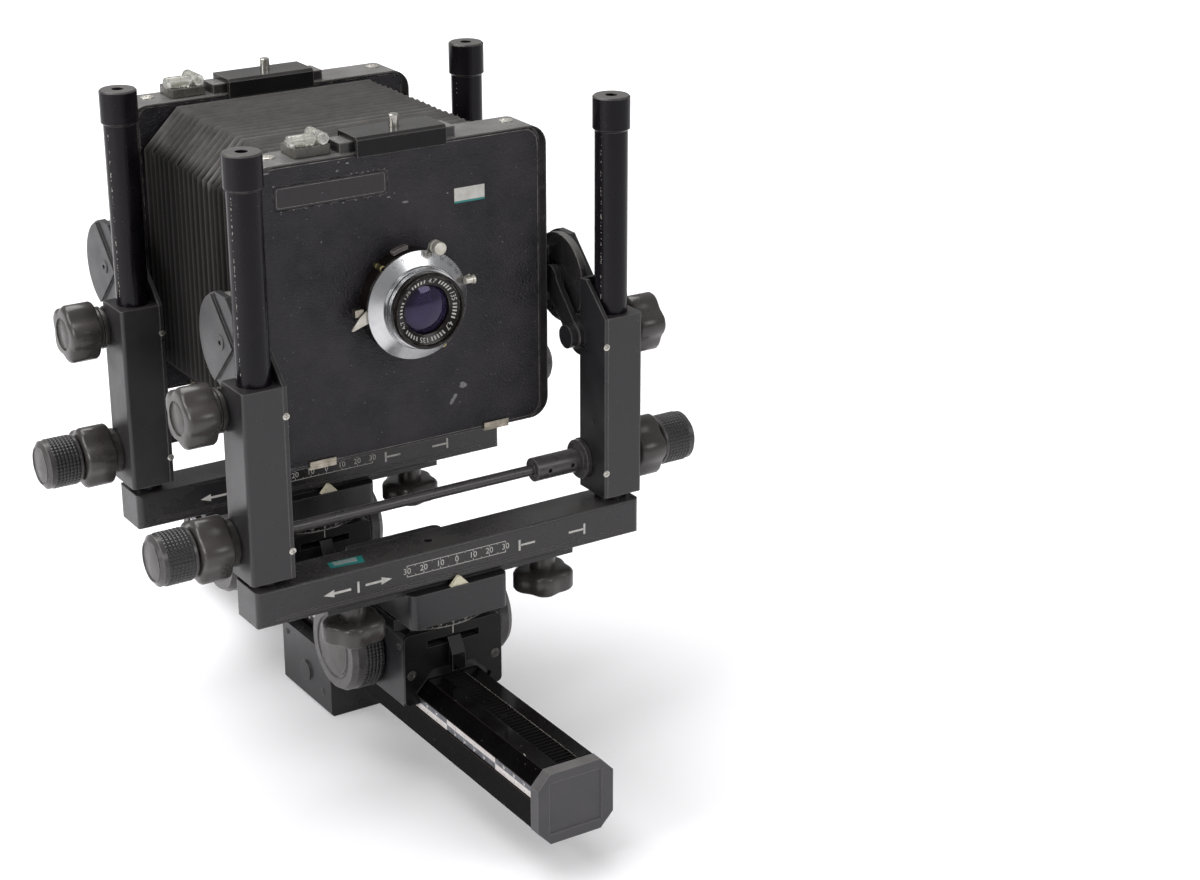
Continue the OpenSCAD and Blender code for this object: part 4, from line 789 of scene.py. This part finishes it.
def frameRing(corners, radius, width, low, high, place):
    # a flat ring from u0, u1, v0, v1: a rounded outline and the same drawn in, at two heights
    u0, u1, v0, v1 = corners
    outer = roundedOutline(u0, u1, v0, v1, radius, 5)
    inner = roundedOutline(u0 + width, u1 - width, v0 + width, v1 - width, radius - width, 5)
    rows = [(outer, low), (outer, high), (inner, high), (inner, low), (outer, low)]
    points = [np.column_stack([outline, np.full(len(outline), w)]) for outline, w in rows]
    return place(np.concatenate(points)), gridFaces(len(rows), len(outer), wrap=True)


boardFace = facing("front", (0, 34.0, 0))
plateFace = facing("front", (0, 34.6, 0))
plate = prism(roundedOutline(-73.4, -9.8, 319.4, 331.4, 1.8), -0.02, 0.45, plateFace)
addPiece("namePlate", plate, "plateBlack", "front_frame")
addPiece("namePlateLine", frameRing((-72.4, -10.8, 320.3, 330.5), 1.6, 0.24, 0.42, 0.47, plateFace),
         "lineSilver", "front_frame")
# chips of paint: u, v, width and height
chips = [(32.6, 205.9, 4.6, 3.8), (30.4, 196.4, 0.8, 0.8), (0.5, 312.9, 4.2, 1.3),
         (25.7, 313.8, 1.2, 0.8), (-48.5, 299.4, 1, 1), (-38, 335.2, 1.6, 1.1), (-32, 338.4, 2.2, 0.9),
         (-37, 339.6, 1.2, 0.7), (-77.5, 339.4, 4.2, 0.8), (-73.6, 332.3, 1.6, 1), (-9, 317, 2.6, 0.9),
         (-5.6, 318.6, 1, 0.7)]
chips += [(x, 332.4 + 0.3 * random.random(), 0.7 + 0.6 * random.random(), 0.5)
          for x in np.linspace(-30, -11, 7)]
chips += [(x, 318.2 + 0.4 * random.random(), 0.7 + random.random(), 0.4)
          for x in np.linspace(-70, -14, 9)]
chips += [(*spot, 0.5 + 0.5 * random.random(), 0.4)
          for spot in random.uniform((-76, 185), (76, 336), (40, 2))
          if np.hypot(spot[0], spot[1] - lensHeight) > 33]
# one long flake near the lower edge
flake = np.array([[24, 196.4], [25.4, 195.9], [26.6, 197.4], [27.4, 198.6], [28.8, 200], [28.9, 201.3],
                  [27.8, 201.6], [26.6, 201], [26.4, 200], [25.2, 199], [24.6, 197.8]])
chipOutlines = [blotch(*chip) for chip in chips] + [flake]
addInk("boardChips", chipOutlines, boardFace, "chippedPaint", "front_frame", 0.04)
addInk("boardLabel", [bar(29.7, 308.4, 48, 315.6)], boardFace, "paperLabel", "front_frame", 0.09)
addInk("boardLabelEdge", [bar(29.7, 307.4, 48, 308.5)], boardFace, "greenEdge", "front_frame", 0.1)

# a dark ring in the seam round the board: painted shade in the gap
gapFace = facing("front", (0, 34.2, 0))
addPiece("boardGap", frameRing((-81.7, 81.7, 178.6, 342.0), 8.7, 0.75, -0.02, 0.03, gapFace),
         "coverEnamel", "front_frame")
# a thin pale line round the board's edge: a painted highlight
addPiece("boardEdge", frameRing((-80.95, 80.95, 179.35, 341.25), 8.0, 0.3, -0.02, 0.03, boardFace),
         "edgeWorn", "front_frame")

topFace = facing("top", (0, 0, 137))
sticker = np.array([[-69.7, -4.4], [-51.2, -6.4], [-48.8, 1.7], [-68.4, 2.5]])
addInk("barSticker", [sticker], topFace, "greenEdge", "front_bar", 0.09)
addInk("barStickerPanel", [sticker * [0.7, 0.6] + [-18.2, 0.2]], topFace, "greyPanel", "front_bar", 0.12)

# bare metal rubbed along the edge of the rack's slot, closer together at the front, and one scratch
rubbed = [blotch(6.3 + 0.12 * random.standard_normal(), y, 0.2 + 0.25 * random.random(),
                 0.3 + 0.6 * random.random(), 6)
          for y in np.concatenate([np.arange(-122, -8, 0.8), np.arange(84, 290, 1.2)])]
rubbed.append(np.array([[-16.1, -106], [-15.7, -106], [-15.3, -103.6], [-15.7, -103.5]]) + [0.9, 0])
addInk("railRubbed", rubbed, facing("top", (0, 0, 58)), "bareMetal", "base", 0.03)

# the columns' outer and inner sides: a fine seam with its black rubbed off in specks
column = {"x": 105.5, "radius": 8.86, "turn": 70, "low": 249, "high": 342, "specks": 46}
for side, dy in standards.items():
    for name, hand, way in (("Left", -1, -1), ("Inner", 1, -1), ("Right", 1, 1), ("InnerLeft", -1, 1)):
        along = math.radians(way * column["turn"]) * column["radius"]
        specks = [blotch(along + 0.12 * random.standard_normal(), z, 0.25 + 0.25 * random.random(),
                         0.4 + 1.6 * random.random() ** 2, 6)
                  for z in random.uniform(column["low"], column["high"], column["specks"])]
        face = wrapped((hand * column["x"], dy, 0), column["radius"])
        addInk(f"{side}ColumnSpecks{name}", specks, face, "bareMetal", f"{side}_bar", 0.02)

# ribs pressed into the clips under each board
for side, dy in standards.items():
    place = facing("front", (0, 32.8 + dy, 0))
    ribs = [prism(bar(x + 0.2, z - 0.35, x + 15.2, z + 0.35), -0.02, 0.3, place)
            for x in (-61, 44.7) for z in (177.8, 179.2, 180.6)]
    addPiece(f"{side}ClipRibs", joined(ribs), "springSteel", f"{side}_frame")
    for y1, z1 in ((34.19, 181.5), (43.3, 177.795)):
        for x0, x1 in ((-61.2, -45.4), (44.6, 60.3)):
            partFinish(f"{side}_frame", "springSteel", (x0, 32.7 + dy, 176.9), (x1, y1 + dy, z1))
    partFinish(f"{side}_carrier", "creamPlastic", (-5.5, -16 + dy, 114.51), (5.5, -13.35 + dy, 119.6))
    partFinish(f"{side}_board_lock", "paleSteel", (-2.1, 35 + dy, 351.4), (2.1, 52 + dy, 358))
    # the slider's pin: a plain pale cylinder round the thin one
    pin = turned([(351.3, 0.01), (351.3, 2.7), (357.4, 2.7), (357.9, 2.3), (357.9, 0.01)], "z",
                 (0, 43.2 + dy, 0), 32)
    addPiece(f"{side}LockPin", pin, "paleSteel", f"{side}_board_lock")
print("board and frame dressed")


# Levels: a dark seat and two clear rods at right angles, each with its liquid

level = {"radius": 3.2, "liquid": 1.9, "seatLow": 342.8, "seatHigh": 348.0, "axis": 351.0,
         "acrossY": 43.7, "alongX": -41.6}


def capsule(start, end, radius, axis, centre, steps=40):
    # a rod with rounded ends: radius falls off as a quarter circle over the last third of a radius
    curve = radius * 0.35
    ends = [(curve * (1 - math.cos(a)), radius - curve + curve * math.sin(a))
            for a in np.linspace(0, np.pi / 2, 6)]
    profile = [(start, 0.01)] + [(start + along, r) for along, r in ends]
    profile += [(end - along, r) for along, r in ends[::-1]] + [(end, 0.01)]
    return turned(profile, axis, centre, steps)


for side, dy in standards.items():
    body = f"{side}_frame"
    across = ("x", (0, level["acrossY"] + dy, level["axis"]))
    along = ("y", (level["alongX"], dy, level["axis"]))
    seat = prism(roundedOutline(-58.4, -38.2, 39.2 + dy, 56.8 + dy, 1.2), level["seatLow"],
                 level["seatHigh"], facing("top"))
    seatPiece = addPiece(f"{side}LevelSeat", seat, "seatPlastic", body)
    soften = seatPiece.modifiers.new("soft edges", "BEVEL")
    soften.width, soften.segments, soften.limit_method = 0.5 * mm, 2, "ANGLE"
    rods = [capsule(-60.6, -45.1, level["radius"], *across),
            capsule(39.8, 56.8, level["radius"], *along)]
    addPiece(f"{side}LevelRods", joined(rods), "clearAcrylic", body)
    liquid = [capsule(-57.0, -47.5, level["liquid"], *across),
              capsule(47.2, 54.8, level["liquid"], *along)]
    addPiece(f"{side}LevelLiquid", joined(liquid), "levelLiquid", body)
    rings = [turned([(start, 3.21), (start + 0.3, 3.21), (start + 0.3, 3.24), (start, 3.24)], *line, 40,
                    loop=True) for start, line in ((-52.2, across), (50.2, along))]
    addPiece(f"{side}LevelRings", joined(rings), "lineSilver", body)
    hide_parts(f"{side}_level")
print("levels made")


# Lens and shutter, all turned about the lens axis

# the cones are given by radius and y at their inner and outer edges
lens = {"centre": (0, 0, lensHeight), "nameCone": ((13.9, 12.3), (18.0, 10.4)),
        "speedCone": ((21.4, 18.9), (29.3, 22.1)), "cockingAngle": 72, "apertureAngle": 16.5,
        "leverBack": -24.3, "leverFront": -23.6}
lensFace = facing("front", lens["centre"])


def domeShape(y, radius, bow, steps=72):
    # a spherical cap, bow high at the middle: its height is the root of R squared less r squared
    sphere = (radius ** 2 + bow ** 2) / (2 * bow)
    r = np.linspace(0.02, radius, 14)
    rise = np.sqrt(sphere ** 2 - r ** 2) - (sphere - bow)
    return turned([(y - h, a) for h, a in zip(rise, r)] + [(y + 0.4, radius), (y + 0.4, 0.02)], "y",
                  lens["centre"], steps)


def aroundLens(radius):
    # bends (u, v, w) round the lens axis: u is arc length clockwise from the top, v outwards, w forwards
    def place(points):
        u, v, w = np.asarray(points, float).T
        reach = radius + v
        return np.column_stack([reach * np.sin(u / radius), -w, lensHeight + reach * np.cos(u / radius)])
    return place


def coneHeight(radius, cone):
    (inner, innerY), (outer, outerY) = cone
    return innerY + (radius - inner) * (outerY - innerY) / (outer - inner)


def onCone(shapes, cone):
    # moves shapes from a flat face on to a cone round the lens axis
    moved = []
    for points, faces in shapes:
        radius = np.hypot(points[:, :1], points[:, 2:] - lensHeight)
        moved.append((points + coneHeight(radius, cone) * [0, 1, 0], faces))
    return moved


def ringTicks(radius, count, length, width, share=1.0):
    gap, place = 2 * math.pi * radius / count, aroundLens(radius)
    return [prism(bar(k * gap - width / 2, 0, k * gap + width / 2, length), -0.03, 0.05, place)
            for k in range(int(count * share))]


def lensRing(name, profile, look, body="front_frame", steps=96, angle=35, ripple=None):
    shape = turned(profile, "y", lens["centre"], steps, ripple, loop=True)
    addPiece(name, shape, look, body, angle=angle)


# a stepped name ring behind the rim, its shoulder, and two silver retaining rings
for name, profile, look in (
        ("lensFrontCell",
         [(24.4, 13.1), (16.0, 13.1), (12.6, 13.3), (12.3, 13.9), (10.4, 18.0), (10.3, 18.25),
          (9.0, 18.45), (8.3, 18.6), (8.2, 18.8), (8.2, 19.5), (8.35, 20.0), (8.9, 20.25), (12.9, 20.3),
          (13.0, 19.9), (18.1, 19.9), (18.1, 15.2), (24.4, 15.2)], "blackLacquer"),
        ("lensSilverRing", [(13.2, 20.0), (13.2, 21.2), (13.6, 21.5), (15.4, 21.5), (15.4, 20.0)],
         "satinAluminium"),
        ("lensSilverRingBack", [(15.9, 20.4), (15.9, 21.9), (16.3, 22.2), (18.6, 22.2), (18.6, 20.4)],
         "satinAluminium"),
        ("lensGroove", [(15.3, 20.0), (15.3, 21.0), (16.0, 21.0), (16.0, 20.0)], "plateBlack")):
    lensRing(name, profile, look, steps=144, angle=30)
addPiece("lensFrontGlass", domeShape(14.4, 13.0, 3.0), "coatedGlass", "front_frame")
addPiece("lensInnerGlass", domeShape(21.0, 11.0, 3.4), "innerGlass", "front_frame")
lensRing("lensInnerRing", [(16.8, 13.0), (16.9, 11.6), (18.4, 11.0), (18.4, 13.0)], "blackLacquer")
lensRing("shutterBlades", [(23.2, 0.01), (23.0, 0.01), (22.6, 12.8), (23.2, 12.8)], "plateBlack")
addPiece("lensRearGlass", domeShape(44.4, 13.0, 1.0), "innerGlass", "front_frame")
lensRing("lensRearCell", [(37.2, 13.1), (37.2, 15.2), (45.3, 15.2), (45.3, 17.3), (52.0, 17.3),
                          (52.2, 17.0), (52.2, 14.0), (50.5, 13.1)], "blackLacquer", angle=30)
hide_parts("lens_glass")
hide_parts("lens_cells")

# plain ticks and focal figures stand where lettering would be: groups of nine steps, 54 round the ring
nameRadius = 14.9
nameStep = 2 * math.pi * nameRadius / 54
nameMarks = [tick for k, tick in enumerate(ringTicks(nameRadius, 54, 2.0, 0.8)) if k % 9 > 3]
nameMarks += [digits("135" if k % 2 else "4.7", 2.5, (k * 9 + 1.5) * nameStep, 1.0,
                     aroundLens(nameRadius)) for k in range(6)]
addPiece("lensNameMarks", joined(onCone(nameMarks, lens["nameCone"])), "whiteInk", "front_frame")

speedMarks = ringTicks(28.3, 60, 0.8, 0.3, share=0.42)
speedMarks += [digits(text, 2.2, (k - 2.5) * 6.2, -1.6, aroundLens(28.3))
               for k, text in enumerate(("1", "2", "5", "10", "25", "50", "100", "200"))]
speedMarks += ringTicks(24.6, 48, 1.0, 0.25, share=0.3)
speedMarks += [digits(text, 1.9, 33 + k * 6.4, -1.7, aroundLens(25.5))
               for k, text in enumerate(("4", "8", "16", "32"))]
addPiece("speedMarks", joined(onCone(speedMarks, lens["speedCone"])), "darkInk", "speed_ring")
lensRing("speedRingLine", [(coneHeight(r, lens["speedCone"]) + w, r)
                           for r, w in ((26.2, -0.04), (26.5, -0.04), (26.5, 0.2), (26.2, 0.2))],
         "darkInk", "speed_ring", steps=144)
lensRing("speedRingEdge", [(23.2, 29.0), (23.2, 29.35), (22.25, 29.35), (22.25, 29.0)], "satinAluminium",
         "speed_ring", steps=360, ripple=lambda y, angle, r: (r > 29.1) * 0.12 * np.sin(angle * 120))

# a ribbed slide on the shutter's upper left and a stop beside the release lever
slideAngle = np.radians(np.linspace(97, 113, 9))
slide = np.concatenate([np.column_stack([r * np.cos(angles), r * np.sin(angles)])
                        for r, angles in ((30.6, slideAngle), (32.6, slideAngle[::-1]))])
addPiece("flashSlide", prism(slide, -27.6, -24.4, lensFace), "wornGrey", "front_frame")


def spoke(degrees):
    # turns (u, v, w) into x, y, z: v outwards from the lens axis at an angle from +X, u across it
    c, s = math.cos(math.radians(degrees)), math.sin(math.radians(degrees))
    return lambda p: lensFace(p @ np.array([[s, -c, 0], [c, s, 0], [0, 0, 1]]))


def lever(outline, place):
    return prism(outline, lens["leverBack"], lens["leverFront"], place)


blade = np.array([[-25, 3.4], [-29.4, 1.4], [-33.7, -2.0], [-37.9, -7.2], [-38.3, -7.9], [-37.5, -8.3],
                  [-29.2, -5.6], [-26, -5.0]])
bladePiece = addPiece("releaseBlade", lever(blade, lensFace), "paleNickel", "release_lever")
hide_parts("release_lever")
knobAngle = math.radians(lens["cockingAngle"])
knobCentre = (32.4 * math.cos(knobAngle), 0, lensHeight + 32.4 * math.sin(knobAngle))
cocking = [lever(bar(-1.8, 23, 1.8, 33), spoke(lens["cockingAngle"])),
           turned([(23.8, 0.01), (23.8, 1.7), (21.2, 1.7), (21.2, 3.3), (20.9, 3.5), (19.2, 3.5),
                   (18.9, 3.2), (18.5, 3.2), (18.2, 3.5), (14.6, 3.5), (14.2, 3.2), (14.2, 0.01)], "y",
                  knobCentre, 48)]
knobPiece = addPiece("cockingKnob", joined(cocking), "paleNickel", "cocking_lever")
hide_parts("cocking_lever")
aperture = [lever(bar(-1.5, 24, 1.5, 34), spoke(lens["apertureAngle"])),
            turned([(24.0, 0.01), (24.0, 1.2), (19.6, 1.2), (19.6, 0.01)], "y",
                   (31.6, 0, lensHeight + 9.3), 24),
            turned([(26.6, 0.01), (26.6, 1.7), (26.9, 1.95), (30.9, 1.95), (31.2, 2.4), (32.3, 2.4),
                    (32.6, 2.1), (32.6, 0.01)], "x", (0, 19.5, lensHeight + 9.3), 40)]
aperturePiece = addPiece("aperturePeg", joined(aperture), "paleNickel", "aperture_lever")
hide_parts("aperture_lever")
stop = prism(roundedOutline(-35.4, -30.4, -1.6, 2.4, 0.6), -28.5, -24.8, lensFace)
addPiece("releaseStop", stop, "springSteel", "front_frame")
post = [(23.7, 0.01), (23.7, 1.6), (27.6, 1.65), (28.0, 1.2), (28.6, 1.2), (28.9, 1.5), (31.6, 1.5),
        (32.0, 1.1), (32.0, 0.01)]
posts = [turned(post, "y", (x, 0, lensHeight + z), 32) for x, z in ((-19.3, 22.5), (15.7, -25.0))]
addPiece("flashPosts", joined(posts), "brassPost", "front_frame")
print("lens dressed")


# Camera, floor and light

# angles in degrees, the lens and its film width in mm, the place in metres
view = {"yaw": -32.99, "pitch": -21.57, "roll": 0.06, "lens": 73.95, "film": 36,
        "place": (-0.5848, -1.1664, 0.6671)}


def addCamera():
    yaw, pitch, roll = (math.radians(view[key]) for key in ("yaw", "pitch", "roll"))
    along = math.cos(pitch)
    forward = Vector((-math.sin(yaw) * along, math.cos(yaw) * along, math.sin(pitch)))
    right = Vector((math.cos(yaw), math.sin(yaw), 0))
    up = right.cross(forward)
    c, s = math.cos(roll), math.sin(roll)
    right, up = right * c + up * s, up * c - right * s
    data = bpy.data.cameras.new("camera")
    data.lens, data.sensor_width, data.sensor_fit = view["lens"], view["film"], "HORIZONTAL"
    data.clip_start, data.clip_end = 0.05, 50
    camera = addObject("camera", data)
    turn = Matrix((right, up, -forward)).transposed().to_4x4()
    camera.matrix_world = Matrix.Translation(Vector(view["place"])) @ turn
    bpy.context.scene.camera = camera


def addLamp(name, place, target, size, power):
    data = bpy.data.lights.new(name, "AREA")
    data.shape, data.size, data.size_y, data.energy = "RECTANGLE", size[0], size[1], power
    lamp = addObject(name, data)
    lamp.location = place
    lamp.rotation_euler = (Vector(target) - Vector(place)).to_track_quat("-Z", "Y").to_euler()


def seenAsBackground(tree):
    # 1 for rays that come from the camera, straight or through glass
    path = addNode(tree, "LightPath")
    return combined(tree, "MAXIMUM", path.outputs["Is Camera Ray"], path.outputs["Is Transmission Ray"])


def addStage(half=9e3):
    # the floor keeps its shadow; a share of plain white is added for rays that show it as a background
    material, tree = newMaterial("paleFloor")
    # far from the part, where the lamps no longer reach, the floor is white by itself
    coords = addNode(tree, "TexCoord").outputs["Object"]
    reach = addNode(tree, "VectorMath", {0: coords}, operation="LENGTH")
    share = ranged(tree, reach.outputs["Value"], 0.9, 2.6, 0.17, 0.9)
    lift = combined(tree, "MULTIPLY", seenAsBackground(tree), share)
    shader = addNode(tree, "BsdfPrincipled", {
        "Base Color": linear("#f2f1f3"), "Roughness": 0.8, "Specular IOR Level": 0.2,
        "Emission Color": linear("#ffffff"), "Emission Strength": lift})
    addNode(tree, "OutputMaterial", {"Surface": shader.outputs[0]})
    finishes["paleFloor"] = material
    corners = np.column_stack([bar(-half, -half, half, half), np.zeros(4)])
    floor = addPiece("floor", (corners, [[0, 1, 2, 3]]), "paleFloor", None, solid=False)
    world = bpy.data.worlds.new("studio")
    bpy.context.scene.world = world
    world.use_nodes = True
    tree = world.node_tree
    tree.nodes.clear()
    strength = ranged(tree, seenAsBackground(tree), 0.0, 1.0, 0.36, 1.0)
    back = addNode(tree, "Background", {"Color": linear("#ffffff"), "Strength": strength})
    addNode(tree, "OutputWorld", {"Surface": back.outputs[0]})


bpy.context.scene.view_settings.view_transform = "Standard"
addCamera()
addStage()
addLamp("overhead", (-0.3, 0.7, 2.2), (0, 0.05, 0.2), (2.4, 1.8), 63)
addLamp("left", (-1.9, -0.2, 1.0), (0, 0, 0.2), (0.9, 1.3), 19)
addLamp("front", (0.9, -1.9, 1.3), (0, 0, 0.2), (1.0, 0.9), 9)
print("stage and lamps made")
